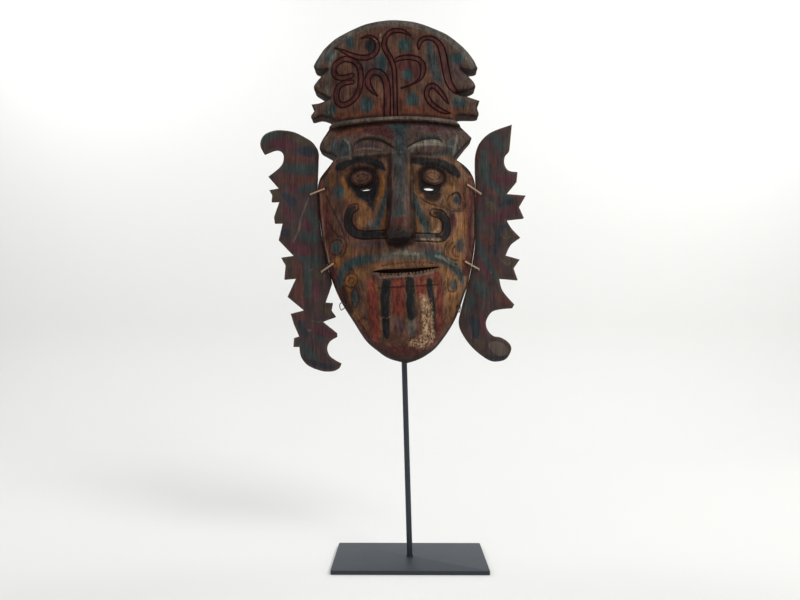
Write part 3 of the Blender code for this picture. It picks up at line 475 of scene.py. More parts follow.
def carve(u, z):
    """Height of the carved front over the flat back, and how deep each point lies in a cut line; the line
    under the fillet is painted shadow.
    """
    p = broad_form(u, z)
    lines = np.zeros(len(u))
    # nose, with a rounded bridge, and a tip cut back underneath over two nostrils
    s = np.abs(u - knots(z, NOSE_CENTRE)) / knots(z, NOSE_HALF)
    p = p + (knots(z, NOSE_HEIGHT) * np.clip(1 - s ** 2.4, 0, 1) ** 0.85 * ramp(z, *NOSE_FOOT)
             * (z < NOSE_HEIGHT[-1][0]))
    wide, tall, deep = NOSTRIL_SIZE
    for nu, nz in NOSTRILS:
        p = p - deep * np.exp(-((u - nu) / wide) ** 2 - ((z - nz) / tall) ** 2)
    # eyes, each an oval dome with a carved line inside its rim and an almond line inside that
    at, half, deep = LID_LINE
    wide, tall, thin, shallow = ALMOND
    for eye in EYES:
        r, x, y = eye_ring(u, z, eye)
        almond = np.abs(np.abs(y) - tall * np.clip(1 - np.abs(x / wide) ** 1.7, 0, 1))
        almond = np.where(np.abs(x) < wide, almond, 1)
        p = p + EYE_RISE * np.clip(1 - r ** 2.2, 0, 1) ** 0.65
        for c, depth in ((cut(r, at, half), deep), (cut(almond, 0, thin), shallow)):
            p, lines = p - depth * c, np.maximum(lines, 0.8 * c)
    # brow ridges, highest along the upper edge with a cut above it
    for left in (True, False):
        v, over, ends = brow(u, z, left)
        above = np.clip(over / 0.8, 0, 1)
        deep, wide = BROW_CUT
        p = p + ends * ((1 - above) * BROW_RISE * np.clip(v, 0, 1)
                        - above * deep * np.clip(1 - over / wide, 0, 1))
        strength = 1.0 if left else 0.35
        lines = np.maximum(lines, strength * ends * np.clip(1 - np.abs(over - 1.6) / 2.2, 0, 1))
    # lips, nicked with a knife above and below, and the deep slot of the mouth
    line, half = knots(u, MOUTH), knots(u, MOUTH_HALF)
    up, down = knots(u, LIP_UP), knots(u, LIP_DOWN)
    off = z - line
    lip = np.where(off > 0, off / up, -off / down)
    a, b, c, d = LIP_SPAN
    p = p + np.where((u > a) & (u < d), LIP_RISE * np.sqrt(np.clip(1 - lip ** 2, 0, 1)) * ramp(u, a, b)
                     * (1 - ramp(u, c, d)), 0)
    wander = 0.5 * np.sin(u * 0.9) + 0.35 * np.sin(u * 2.3 + 1)
    teeth = nicked(u, -27, 4.5, 0.8) & (u > -28) & (u < 42) & (off < 0) & (-off - half < 2.2 + wander)
    hatch = nicked(u, -24, 2.9, 0.55) & (u > -26) & (u < 40)
    hatch = hatch & (off - half > 3.2 + wander) & (off - half < 6.0)
    slot_here = (u > -36) & (u < 49) & (np.abs(off) < half + 0.02)
    p = p - np.where(slot_here, MOUTH_DEEP, np.where(teeth, 2.4, np.where(hatch, 0.8, 0)))
    lines = np.maximum(lines, np.where(slot_here | teeth, 1.0, np.where(hatch, 0.55, 0)))
    # moustache and the loops on the cheeks
    for points in MOUSTACHE:
        d = distance(u, z, through(points, 2.0), 12)
        c = cut(d, MOUSTACHE_HALF, MOUSTACHE_CUT[1])
        p = p + MOUSTACHE_RISE * (d < MOUSTACHE_HALF) - MOUSTACHE_CUT[0] * c
        lines = np.maximum(lines, 0.7 * c)
    for points in CHEEK_LINES:
        c = cut(distance(u, z, through(points, 1.5), 8), 0, CHEEK_CUT[1])
        p, lines = p - CHEEK_CUT[0] * c, np.maximum(lines, 0.48 * c)
    # crest: bands between two cut lines, fillet below, bevel along the arc
    for points in SCROLLS:
        c = cut(stroke(u, z, points), 0, SCROLL_CUT[1]) * ramp(z, *SCROLL_END)
        p, lines = p - SCROLL_CUT[0] * c, np.maximum(lines, 0.85 * c)
    off = z - knots(u, FILLET)
    a, b, c, d = FILLET_STEPS
    p = p + FILLET_RISE * (ramp(off, a, b) - ramp(off, c, d))
    p = p - FILLET_SHADE * (1 - ramp(-off, 6, 22)) * (off < (a + b) / 2)
    # a dark line at the foot of the fillet, painted shadow under it, kept with the cut lines
    lines = np.maximum(lines, 0.6 * np.clip(1 - np.abs(off + 4.6) / 1.4, 0, 1) * (np.abs(u) < 92))
    wide, slope = ARC_BEVEL
    p = p - slope * np.clip(wide - distance(u, z, crest_arc, wide), 0, wide)
    # softened outer edge, rounder on the lobes of the crest
    rim = distance(u, z, mask_edge, 16, closed=True)
    p = p - RIM[0] * np.clip(1 - rim / RIM[1], 0, 1) ** 1.6
    lobes = ramp(z, 590, 598) * (1 - ramp(z, 662, 676))
    p = p - LOBE[0] * np.clip(1 - rim / LOBE[1], 0, 1) ** 1.8 * lobes
    # low facets that the gouge leaves, and the raised grain of old dry wood
    p = p + 0.35 * ripple(u, z, 11, 3.1, 1.8) + 0.16 * ripple(u, z, 2.6, 7.7, 9.0)
    return p, lines, rim


def hollow_back(u, z):
    """Height of the back: flat land round a hollow behind the face, both left rough from the gouge."""
    wide = knots(z, HALF) - LIP
    bottom, top = HOLLOW
    tall = np.where(z > top, (z - top) / 36, np.where(z < bottom, (bottom - z) / 15, 0.0))
    q = 1 - np.sqrt((np.abs(u - knots(z, CENTRE)) / np.maximum(wide, 1)) ** 2 + tall ** 2)
    q = np.clip(q / 0.4, 0, 1)
    p = np.where(z < top + 37, (broad_form(u, z) - WALL) * (1 - (1 - q) ** 2), 0.0)
    scallops = np.where(q > 0, 1.6 * np.abs(ripple(u, z, 9, 5.5, 2.0)) * np.clip(q * 4, 0, 1), 0.0)
    return p + scallops + 0.12 * np.abs(ripple(u, z, 6, 9.1, 4.0))


def sheet(loops, lines, spacing, clearance=0.5):
    """Triangles over an outline with holes, following the lines; the loops' points come first."""
    points, edges = [], []
    for loop in loops:
        k = len(points)
        points += [tuple(q) for q in loop]
        edges += [(k + i, k + (i + 1) % len(loop)) for i in range(len(loop))]
    for line in lines:
        line = np.asarray(line, float)
        ok = inside(line[:, 0], line[:, 1], loops[0])
        for i, loop in enumerate(loops):
            ok &= distance(line[:, 0], line[:, 1], loop, 5, closed=True) > clearance
            if i:
                ok &= ~inside(line[:, 0], line[:, 1], loop)
        k = len(points)
        points += [tuple(q) for q in line[ok]]
        kept = np.flatnonzero(ok)
        edges += [(k + i, k + i + 1) for i in range(len(kept) - 1) if kept[i + 1] == kept[i] + 1]
    tree = kdtree.KDTree(len(points))
    for i, q in enumerate(points):
        tree.insert((q[0], q[1], 0), i)
    tree.balance()
    low, high = loops[0].min(axis=0), loops[0].max(axis=0)
    rows = np.arange(low[1] + spacing / 2, high[1], spacing * 0.87)
    grid = []
    for i, z in enumerate(rows):
        row = np.arange(low[0] + (spacing / 2 if i % 2 else 0), high[0], spacing)
        grid.append(np.stack([row, np.full(len(row), z)], axis=1))
    grid = np.concatenate(grid)
    ok = inside(grid[:, 0], grid[:, 1], loops[0])
    for loop in loops[1:]:
        ok &= ~inside(grid[:, 0], grid[:, 1], loop)
    points += [tuple(q) for q in grid[ok] if tree.find((q[0], q[1], 0))[2] > spacing * 0.55]
    verts, _, faces, origin, _, _ = delaunay_2d_cdt([Vector(q) for q in points], edges, [], 0, 1e-5)
    spot = {old: new for new, olds in enumerate(origin) for old in olds}
    xy = np.array([(v.x, v.y) for v in verts])
    tri = np.array([tuple(f) for f in faces])
    mid = xy[tri].mean(axis=1)
    ok = inside(mid[:, 0], mid[:, 1], loops[0])
    for loop in loops[1:]:
        ok &= ~inside(mid[:, 0], mid[:, 1], loop)
    tri = tri[ok]
    used, packed = np.unique(tri, return_inverse=True)
    index = {old: new for new, old in enumerate(used)}
    rings, k = [], 0
    for loop in loops:
        rings.append([index[spot[k + i]] for i in range(len(loop))])
        k += len(loop)
    return xy[used], packed.reshape(-1, 3), rings


def relief(heights, faces, rounds=16):
    """How far each point stands over the average of those round it, in millimetres."""
    a = np.concatenate([faces[:, 0], faces[:, 1], faces[:, 2]])
    b = np.concatenate([faces[:, 1], faces[:, 2], faces[:, 0]])
    count = np.bincount(a, minlength=len(heights)) + np.bincount(b, minlength=len(heights))
    level = heights.copy()
    for _ in range(rounds):
        level = (np.bincount(a, level[b], len(heights)) + np.bincount(b, level[a], len(heights))) / count
    return heights - level


def board(name, loops, lines, spacing, high, low, marks, rows=4, rough=0.25):
    """A carved board: front sheet, back sheet, walls between, and its paint marks as attributes."""
    fxy, ff, fr = sheet(loops, lines, spacing[0])
    bxy, bf, br = sheet(loops, [], spacing[1])
    fp, bp = high(fxy[:, 0], fxy[:, 1]), low(bxy[:, 0], bxy[:, 1])
    verts = np.concatenate([np.stack([fxy[:, 0], BACK_Y - fp, fxy[:, 1]], axis=1),
                            np.stack([bxy[:, 0], BACK_Y - bp, bxy[:, 1]], axis=1)])
    faces = [tuple(f) for f in ff.tolist()] + [tuple(f[::-1]) for f in (bf + len(fxy)).tolist()]
    extra = []
    total = len(verts)
    for loop, a, b in zip(loops, fr, br):
        a, b = np.array(a), np.array(b) + len(fxy)
        levels = [a]
        if loop is loops[0]:
            d = np.roll(loop, -1, axis=0) - np.roll(loop, 1, axis=0)
            out = np.stack([-d[:, 1], d[:, 0]], axis=1)
            out /= np.maximum(np.hypot(d[:, 0], d[:, 1]), 1e-6)[:, None]
            for r in range(1, rows):
                t = r / rows
                wave = rough * (ripple(loop[:, 0] + 40 * t, loop[:, 1], 4.0, 2.2 + r) - 0.6)
                spot = verts[a] * (1 - t) + verts[b] * t
                spot[:, 0] += out[:, 0] * np.minimum(wave, 0)
                spot[:, 2] += out[:, 1] * np.minimum(wave, 0)
                extra.append(spot)
                levels.append(total + np.arange(len(loop)))
                total += len(loop)
        levels.append(b)
        for upper, lower in zip(levels, levels[1:]):
            n = len(upper)
            faces += [(upper[i], upper[(i + 1) % n], lower[(i + 1) % n], lower[i]) for i in range(n)]
    if extra:
        verts = np.concatenate([verts] + extra)
    mesh = bpy.data.meshes.new(name)
    mesh.from_pydata((verts * MM).tolist(), [], [tuple(int(i) for i in f) for f in faces])
    stored = marks(verts[:, 0], verts[:, 2], len(fxy), verts)
    stored["relief"] = np.concatenate([relief(fp, ff), np.zeros(len(verts) - len(fp))])
    for key, value in stored.items():
        store = mesh.attributes.new(key, "FLOAT", "POINT")
        store.data.foreach_set("value", value.astype(np.float32))
    mesh.transform(lean)
    bm = bmesh.new()
    bm.from_mesh(mesh)
    bmesh.ops.recalc_face_normals(bm, faces=bm.faces)
    bm.to_mesh(mesh)
    bm.free()
    mesh.shade_smooth()
    mesh.set_sharp_from_angle(angle=math.radians(50))
    return mesh


# Where the paint lies on the mask, and where painted shade and painted highlights lie on it. A stroke's
# points are place and half width in millimetres; a spot is its centre and half sizes; a patch is an outline
SPOTS = {
    "teal": [(-61.5, 700, 6, 12), (-90, 683, 7.5, 10), (-90.5, 606, 8, 7.5), (-41, 609, 9, 11),
        (-20, 665, 8, 14), (12, 690, 9, 9.5), (15.5, 648, 7.5, 8.5), (21, 613, 8.5, 10.5),
        (83, 673, 10, 8), (85, 612, 10, 7), (-80, 492, 7.5, 10), (-86, 418, 7, 7.4), (-62, 350, 5, 11.5),
        (67, 362, 4.6, 7), (75.5, 476, 5, 5.5)],
    "slate": [(77.5, 416, 5.5, 8.5), (-72, 548, 11, 13), (-84, 552, 7, 9), (72, 546, 8, 12),
        (41, 557, 16, 5)],
    "black": [(-33, 691, 8, 9.5), (9.5, 458, 0.5, 1)],
    "orange": [(-67, 373, 7.5, 7.5), (-36, 361, 5, 5), (-88, 398, 8, 6)],
    "maroon": [(48, 572, 7, 5), (70, 448, 5, 9)],
    "purple": [(-36, 668, 9, 13), (84, 655, 9, 14)]}
STROKES = {
    "rust": [[(-80, 597, 5), (-40, 597, 6), (0, 598, 6), (40, 598, 7), (74, 597, 6)],
        [(-25, 612, 4), (-24, 598, 6)], [(6, 618, 4), (7, 596, 5)],
        [(-78, 575, 6), (-62, 574, 8), (-48, 572, 7)], [(-98, 478, 4), (-96, 440, 6), (-90, 400, 5)],
        [(-67, 482, 4), (-62, 474, 6), (-55, 470, 4)], [(84, 500, 5), (88, 470, 6), (88, 430, 5)]],
    "ochre": [[(-68, 517, 5), (-72, 500, 7), (-66, 484, 6), (-52, 472, 6), (-45, 460, 9), (-50, 447, 8)],
        [(-92, 520, 4), (-90, 505, 5)],
        [(-17, 512, 2), (-22, 495, 5), (-27, 478, 5), (-20, 460, 5), (-19, 440, 5)],
        [(16, 515, 3), (20, 495, 5), (30, 478, 5), (40, 468, 5), (46, 450, 5), (46, 436, 4)],
        [(17, 462, 3), (21, 445, 4), (24, 433, 4)], [(76, 505, 4), (68, 495, 5), (64, 470, 6)],
        [(82, 452, 5), (80, 436, 7), (66, 415, 9), (68, 400, 7), (80, 396, 6)],
        [(-70, 412, 6), (-62, 404, 4)], [(-80, 400, 7), (-76, 385, 4)],
        [(-82, 362, 3), (-74, 362, 6), (-70, 340, 7), (-58, 322, 6), (-47, 302, 3)],
        [(-66, 372, 9), (-54, 382, 6), (-46, 378, 5)],
        [(-40, 387, 3), (-20, 388, 4), (10, 389, 4), (48, 386, 3)],
        [(54, 382, 5), (60, 374, 6), (66, 350, 8), (62, 330, 6), (58, 318, 3)],
        [(-29.5, 352, 1.6), (-29.5, 300, 1.6)], [(3.2, 332, 1.4), (3.2, 302, 2.2)]],
    "orange": [[(-21, 511, 1.5), (-23, 500, 3), (-23, 484, 2.5)], [(-19, 456, 1.5), (-19, 438, 2.5)],
        [(-74, 508, 1.5), (-70, 488, 2.5)], [(24, 508, 1.5), (24, 494, 1.8)],
        [(-60, 355, 2), (-74, 362, 2)], [(16, 388, 1), (44, 387, 1.4)]],
    "purple": [[(24, 576, 9), (50, 574, 9), (78, 572, 9)], [(-56, 546, 3), (-38, 548, 4), (-18, 543, 3)],
        [(12, 540, 2), (34, 542, 2.5), (58, 542, 2)], [(-10, 500, 2), (-11, 470, 4), (-12, 446, 4)],
        [(12, 496, 2), (12, 470, 4), (12, 446, 4)], [(-52, 419, 4), (-38, 418, 5.5), (-24, 417, 4)],
        [(18, 416, 3), (30, 412, 5), (46, 408, 4)], [(-10, 318, 5), (-3, 310, 8), (4, 304, 4)],
        [(-80, 474, 2), (-77, 450, 3), (-73, 434, 3)], [(68, 460, 3), (68, 444, 4), (64, 426, 3)],
        [(-34, 376, 1.5), (-30, 380, 1)]],
    "maroon": [[(-100, 412, 4), (-93, 388, 5), (-86, 366, 4), (-70, 330, 3)],
        [(-98, 470, 3), (-94, 440, 5), (-88, 438, 4)], [(-38, 574, 8), (-22, 572, 10), (-6, 560, 6)],
        [(-13, 545, 2), (0, 541, 3), (12, 541, 2)],
        [(8, 660, 6), (20, 660, 8), (26, 652, 6), (14, 642, 6)],
        [(-12, 440, 5), (0, 438, 10), (11, 439, 5)], [(-8, 430, 6), (8, 430, 6)],
        [(97, 506, 4.5), (97.5, 480, 5), (96, 440, 6), (92, 408, 5.5), (84, 380, 4)],
        [(-40, 640, 4), (-42, 632, 3)], [(50, 315, 3), (40, 296, 5), (26, 284, 4)],
        [(-60, 322, 2), (-44, 296, 5), (-24, 280, 6), (0, 276, 9), (26, 278, 4)]],
    "red": [[(-109, 506, 3), (-108, 470, 4.5), (-106, 440, 4.5), (-102, 414, 3.5)],
        [(-46, 373, 1), (-20, 372.5, 1.8), (10, 373.5, 2), (46, 377, 3)],
        [(-40, 368, 5), (-39, 350, 7), (-38, 330, 7), (-37, 310, 6.5), (-36, 295, 4)],
        [(-5, 368, 8), (-5, 350, 8.5), (-5, 332, 8.5)], [(24, 368, 6.5), (24, 354, 6.5)],
        [(47, 373, 4.5), (48, 355, 5), (48, 335, 5), (47, 315, 4), (45, 303, 3)]],
    "slate": [[(2, 588, 20), (2, 581, 15), (3, 570, 9), (3, 556, 8), (3, 545, 9), (2, 525, 10),
         (1, 500, 8.5), (0, 475, 7.5), (-1, 458, 7), (-1, 452, 5)],
        [(46, 692, 3.5), (47, 680, 6), (50, 665, 6.5), (54, 650, 7), (58, 640, 5)],
        [(22, 534, 1), (50, 536, 2.5), (66, 540, 4)],
        [(21, 425, 3.6), (30, 424.6, 4), (40, 425, 4), (47, 427, 3)],
        [(24, 406, 2), (36, 404, 4), (50, 401, 5)]],
    "teal": [[(-16.5, 488, 1.5), (-19, 477, 3.4), (-23, 464, 3.8), (-28, 451, 4.1), (-32, 441, 4.2),
         (-34, 435.5, 3.6)],
        [(16, 486, 2.2), (20, 472, 4.8), (26, 456, 5.0), (32, 442, 5.0), (35, 431, 4.4)],
        [(-84, 366, 2.5), (-81.5, 377, 4.8), (-74.5, 388.5, 6.0), (-63, 395.5, 6.2), (-50, 397.5, 6.0),
         (-38, 398.5, 4.5)],
        [(32, 399.5, 3.5), (42, 398.5, 5.4), (55, 395.5, 6.2), (66, 389, 5.8), (74, 380, 5.2),
         (80, 369, 3.6)], [(-11, 452, 2), (-2, 451, 4), (6, 452, 3)], [(0, 579, 2.5), (3, 567, 2)]],
    # The "grey" stroke on the right brow ridge is a painted highlight; the other "grey" strokes are grey
    # paint.
    "grey": [[(-104, 586, 2.4), (-87, 586.7, 2.6), (-53, 588, 2.6), (0, 589.2, 2.4), (52, 587, 2.6),
         (80, 584.6, 2.4)], [(-34, 399, 4), (-15, 402, 6), (5, 403, 7), (24, 401, 6)],
        [(34, 549, 3), (46, 549.5, 4.5), (57, 549, 3.5)], [(-30, 440.5, 2), (-31, 434, 1)],
        [(-34, 375, 1.0), (-10, 374.6, 1.6), (20, 375.5, 1.6), (40, 380, 0.8)],
        [(-71, 562, 1), (-64.5, 552, 1.4), (-62.5, 532, 1.4)],
        [(80, 566, 1), (77, 552, 2), (73, 536, 1.6)],
        [(-91, 604, 2), (-92, 630, 3.5), (-92, 655, 3), (-86, 678, 2.5), (-70, 696, 1.5)],
        [(11, 320, 5.5), (11, 302, 5)], [(-46, 437.5, 1.4), (-40, 445, 3), (-36, 449, 1)]],
    # The "pale" strokes on the brow ridges, along the left and right rims and along the crest's upper right
    # edge are painted highlights; the others are pale paint and scratches.
    "pale": [[(34, 550, 1), (46, 550.5, 1.8), (56, 550, 1)],
        [(-71, 562, 0.6), (-64.5, 552, 1), (-62.5, 532, 1)],
        [(80, 566, 0.6), (77, 552, 1.3), (73, 536, 1)],
        [(-54, 543, 0.3), (-40, 543.5, 0.7), (-22, 540, 0.6)],
        [(10, 541, 0.5), (24, 545, 1.6), (40, 547, 1.6), (56, 547, 1)],
        [(-30, 374, 0.2), (-10, 373.6, 0.5), (20, 374.6, 0.5), (40, 379, 0.2)],
        [(-8, 404, 2), (8, 404, 2.6), (22, 402, 1.5)], [(44, 400, 1.6), (56, 397, 2.2), (68, 390, 1.6)],
        [(-107.5, 495, 0.6), (-106, 460, 1.2), (-103, 430, 1.2), (-97, 400, 0.8)],
        [(99.5, 470, 0.5), (98.5, 430, 0.8)], [(70, 716, 0.4), (92, 694, 1), (104, 676, 0.6)],
        [(15.6, 512, 0.4), (16.4, 488, 1), (15.6, 440, 0.6)]],
    # The "dark" marks are painted shade, laid where shadow falls: over the crest's upper left edge, under the
    # brow ridges and in the cut above them, round the eyes, beside and under the nose, in the mouth, along
    # the left jaw, under the chin and in the notches beside the band.
    "dark": [[(-112, 672, 1.5), (-101, 693, 3), (-80, 715, 3), (-52, 728, 1.5)],
        [(-60, 534, 2), (-40, 532.5, 3), (-14, 533, 2)], [(24, 535, 1.2), (42, 534, 1.6)],
        [(-58, 551, 1.5), (-50, 556, 3), (-40, 557.5, 4.2), (-24, 553, 4), (-12, 547, 2.4)],
        [(-70, 519, 1.5), (-50, 520.5, 2.2), (-28, 517, 2.5)], [(-66, 512, 2), (-66, 500, 2.5)],
        [(-31, 514, 2.5), (-29, 500, 4), (-31, 488, 2)], [(26, 512, 3), (30, 498, 4.5), (30, 488, 3)],
        [(59, 512, 2), (60, 500, 2)],
        [(-14, 438, 1.5), (-10, 431, 4), (0, 430, 4), (9, 431, 4), (14, 438, 1.5)],
        [(-16, 480, 1.6), (-15, 465, 1.2)], [(-14, 530, 1), (-14, 495, 1.6)],
        [(-16, 417, 3), (0, 415, 5.5), (14, 417, 3)], [(36, 480, 4), (46, 478, 5), (52, 484, 4)],
        [(-46, 292, 3), (-28, 279, 3), (-8, 269, 3.5), (3, 265, 4), (16, 269, 3.5), (34, 278, 3)],
        [(44, 386, 1.5), (-36, 381.4, 1)], [(-78, 365, 3), (-74, 352, 4), (-68, 334, 4)],
        [(-104, 518, 5), (-95, 527, 4)], [(96, 516, 4), (86, 524, 4)]],
    "black": [[(-81, 524, 4), (-74, 525, 6), (-63, 528, 3.8), (-52, 530, 3.8), (-42, 528.5, 4),
         (-32, 526, 4.4), (-24, 521.5, 4), (-18, 515.5, 1.6)],
        [(20, 526, 4), (30, 525.5, 5), (42, 525, 5), (54, 524, 5.2), (64, 520, 6), (73, 515, 6.4),
         (79, 510, 4)],
        [(-21, 430, 3), (-36, 430, 4.8), (-50, 430.5, 5), (-58, 433, 4.8), (-65, 440, 4.6),
         (-68.5, 449, 4.6), (-68, 458, 4.6), (-64.5, 465, 4.2), (-60, 468.5, 2.5)],
        [(44, 457.5, 1), (51, 456.5, 3.2), (57, 451.5, 4.4), (60, 443, 4.8), (59.5, 434, 4.6),
         (56.5, 427, 3.8), (54, 422, 1.6)], [(46, 426, 2), (52, 426, 3)],
        [(-20.5, 366, 5.8), (-22, 350, 6), (-22.5, 330, 5.4), (-22, 312, 5), (-22, 299, 4)],
        [(10.5, 367, 5.8), (10.5, 350, 6.2), (10.5, 335, 6), (11, 323, 5)],
        [(35.5, 368, 4.4), (36, 356, 4.4), (38.5, 343, 3.8), (40, 330, 2.4), (40.5, 318, 1.8),
         # The black stroke under the nose tip, from (-16, 427) to (14, 427), is painted shade.
         (41, 308, 0.8)], [(-16, 427, 3), (-7, 424, 6), (5, 424, 6), (14, 427, 3)],
        [(70, 484, 1.2), (77, 486, 1.8), (81, 480, 1.6)],
        [(46, 460, 0.6), (54, 461, 1.4), (60, 456, 1.4)], [(-77, 341, 1.8), (-71, 337, 1)]],
    "bare": [[(22, 350, 2), (28, 344, 5), (30, 334, 6), (32, 322, 8), (32, 308, 8), (32, 297, 9),
         (24, 290, 9), (10, 289, 4)], [(36, 345, 1), (37, 326, 3)],
        [(26, 422, 1.5), (38, 420, 3.4), (49, 420, 3.4)], [(40, 431, 1), (48, 434, 2.6), (50, 442, 2)],
        [(-19, 707, 0.6), (-20, 698, 0.9)], [(-28, 699.5, 0.8), (-25.5, 697, 0.8)],
        [(-28, 322, 0.5), (-17, 323, 0.5)],
        [(16.5, 512, 0.8), (17.5, 498, 1.6), (18, 488, 1.5), (22, 484, 0.8)],
        [(16, 460, 1), (15.5, 436, 1)], [(27, 440, 0.8), (27, 433, 1.5)]]}
PATCHES = {
    "black": [[(-62, 501), (-62, 493), (-58, 486), (-50, 480), (-43, 474), (-38, 466), (-34, 459),
         (-32.5, 466), (-33, 476), (-29, 487), (-27.5, 501)],
        [(29, 501), (28, 491), (34, 484), (42, 483), (50, 484), (55, 490), (56, 501)]]}


def patch(u, z, ring):
    """Distance inside a closed shape, less than 0 outside it."""
    ring = np.array(ring, float)
    d = distance(u, z, ring, 14, closed=True)
    return np.where(inside(u, z, ring), d, -d)


def lay(marks, name, value):
    """Adds paint where it reaches further in than what is there."""
    marks[name] = np.maximum(marks[name], value)


def mask_marks(u, z, fronts, verts):
    n = len(u)
    _, lines, rim = carve(u, z)
    marks = {name: np.full(n, -14.0) for name in [*PIGMENTS, "bare"]}
    for name, spots in SPOTS.items():
        for cu, cz, a, b in spots:
            lay(marks, name, (1 - np.hypot((u - cu) / a, (z - cz) / b)) * min(a, b))
    for name, strokes in STROKES.items():
        for points in strokes:
            lay(marks, name, stroke(u, z, points))
    for name, rings in PATCHES.items():
        for ring in rings:
            lay(marks, name, patch(u, z, ring))
    # what follows the carving: the crest's bands, its bevel under painted shade, the eyes ringed with painted
    # shade, and painted highlights along the top edges of the brows
    for points in SCROLLS:
        lay(marks, "maroon", np.minimum(stroke(u, z, points) + 1.4, z - SCROLL_END[0]))
    under_crest = (z < 606) & (z > 540) & (np.abs(u) < 30)
    for name in ("slate", "teal"):
        marks[name] = np.minimum(marks[name], np.where(under_crest, 584 - z, 14.0))
    lids = np.max([(1 - eye_ring(u, z, eye)[0]) * 10 for eye in EYES], axis=0)
    # a ring of painted shade round the foot of each eye's dome
    lay(marks, "dark", 2.4 - np.abs(lids + 2.0))
    lay(marks, "purple", np.where(lids < 2.6, lids + 0.6, -2.0))
    for name in ("black", "dark", "red", "orange"):
        marks[name] = np.minimum(marks[name], -lids)
    bevel = ARC_BEVEL[0] - distance(u, z, crest_arc, 14)
    lay(marks, "grey", bevel)
    # painted shade laid thinly over the bevel along the arc
    lay(marks, "dark", np.minimum(bevel, -0.7))
    # a painted highlight in grey along the top edge of each brow ridge, wider on the right
    for left, low in ((True, -1.5), (False, 8.0)):
        v, over, ends = brow(u, z, left)
        top = np.where(over < 0.6, low + over, -3.0) - 6 * (1 - ends)
        lay(marks, "grey", np.minimum(top, 2.0))
    # how much painted light lies on the bare ground, and how much cooler it is: painted light on the right
    # cheek, cool over the brows and at the ends of the crest
    painted_light_right = ramp(u, -70, 80) * (1 - ramp(z, 500, 560)) * ramp(z, 300, 350)
    marks["ground"] = np.clip(0.1 + 0.75 * painted_light_right, 0, 1)
    sides = ramp(z, 575, 640) * (0.1 + 0.8 * ramp(u, 40, 95) + 0.6 * ramp(-u, 75, 105))
    marks["cool"] = np.clip(sides + 0.8 * ramp(z, 525, 545) * (1 - ramp(z, 565, 590)), 0, 1)
    marks["lines"] = lines
    behind = np.where(np.arange(n) < fronts, 0.0, 1.0)
    marks["side"] = behind * np.where(verts[:, 1] < BACK_Y - 3.0, 1.0, 0.0) * (rim < 0.6)
    marks["raw"] = behind * (1 - marks["side"])
    return marks


PIGMENTS = {
    # name: dark and light tone, half width of its soft edge, how ragged, how much it covers
    "rust": ("#38180f", "#6e3a26", 6.0, 2.0, 0.7), "ochre": ("#442a17", "#8c5f36", 5.0, 2.0, 0.72),
    "orange": ("#5e3413", "#9c6529", 3.0, 1.4, 0.7), "purple": ("#281b20", "#57403f", 4.5, 2.0, 0.78),
    "maroon": ("#290c0d", "#522626", 2.4, 1.2, 0.86), "red": ("#3d1510", "#83392d", 2.2, 1.1, 0.85),
    "slate": ("#13191b", "#384244", 4.0, 2.2, 0.88), "teal": ("#0f2123", "#2a4849", 4.0, 2.6, 0.86),
    # Of these, "dark" is painted shade, and "grey" and "pale" also lay painted highlights on the brow ridges
    # and along the rims.
    "grey": ("#322f2b", "#6b685f", 3.6, 2.4, 0.76), "pale": ("#5a564b", "#938b7b", 2.4, 1.4, 0.6),
    "dark": ("#120909", "#281814", 4.0, 1.4, 0.85), "black": ("#060708", "#1b2024", 2.4, 1.2, 0.95)}


def either_side(centre, half, width):
    """Lines over both cut edges of a band, for the mesh to follow."""
    steps = (-1.0, -0.5, 0.0, 0.5, 1.0)
    return [beside(centre, side * (half + w * width)) for side in (1, -1) for w in steps]


front_lines = [beside(np.vstack([mask_edge, mask_edge[:1]]), -d) for d in (0.8, 1.7, 2.6)]
front_lines += [beside(crest_arc, -ARC_BEVEL[0])]
for offset in (3.6, 2.4, 1.2, -2.2, -3.3, -4.4):
    front_lines.append(through([(u, z + offset) for u, z in FILLET], 1.6))
for points in SCROLLS:
    centre = through(points, 1.4, 3)
    front_lines += either_side(centre[:, :2], np.maximum(centre[:, 2], 0.3), SCROLL_CUT[1])
for points in MOUSTACHE:
    front_lines += either_side(through(points, 1.6), MOUSTACHE_HALF, MOUSTACHE_CUT[1])
for points in CHEEK_LINES:
    centre = through(points, 1.2)
    front_lines += [beside(centre, w * CHEEK_CUT[1]) for w in (-1.0, 0.0, 1.0)]
for eye in EYES:
    for k in (1.0, 0.875, 0.8, 0.725):
        ring = ellipse(eye[0], eye[1], eye[2] * k, eye[3] * k, 56, eye[4])
        front_lines.append(np.vstack([ring, ring[:1]]))
for shift, mirror in ((0.0, 1), (1.0, -1)):
    u = np.linspace(-57, -3, 44)
    for rise in (0.0, 0.8):
        front_lines.append(np.stack([u if mirror > 0 else 5 - u, knots(u, BROW_TOP) + rise - shift], axis=1))
u = np.linspace(-36, 49, 76)
for side in (1, -1):
    for extra in (0.0, 0.3):
        front_lines.append(np.stack([u, knots(u, MOUTH) + side * (knots(u, MOUTH_HALF) + extra)], axis=1))

holes = [ellipse(u, z, a, b, 32) for u, z, a, b in SLITS]
holes += [ellipse(u, z, STRAND_HOLE, STRAND_HOLE, 14) for (u, z), _ in TIES]
holes += [ellipse(u, z, WIRE_HOLE, WIRE_HOLE, 10) for (u, z), _, _ in JAW_LOOPS]
mask_mesh = board("mask_finished", [mask_edge] + holes, front_lines, (1.25, 3.2),
                  lambda u, z: carve(u, z)[0], hollow_back, mask_marks)

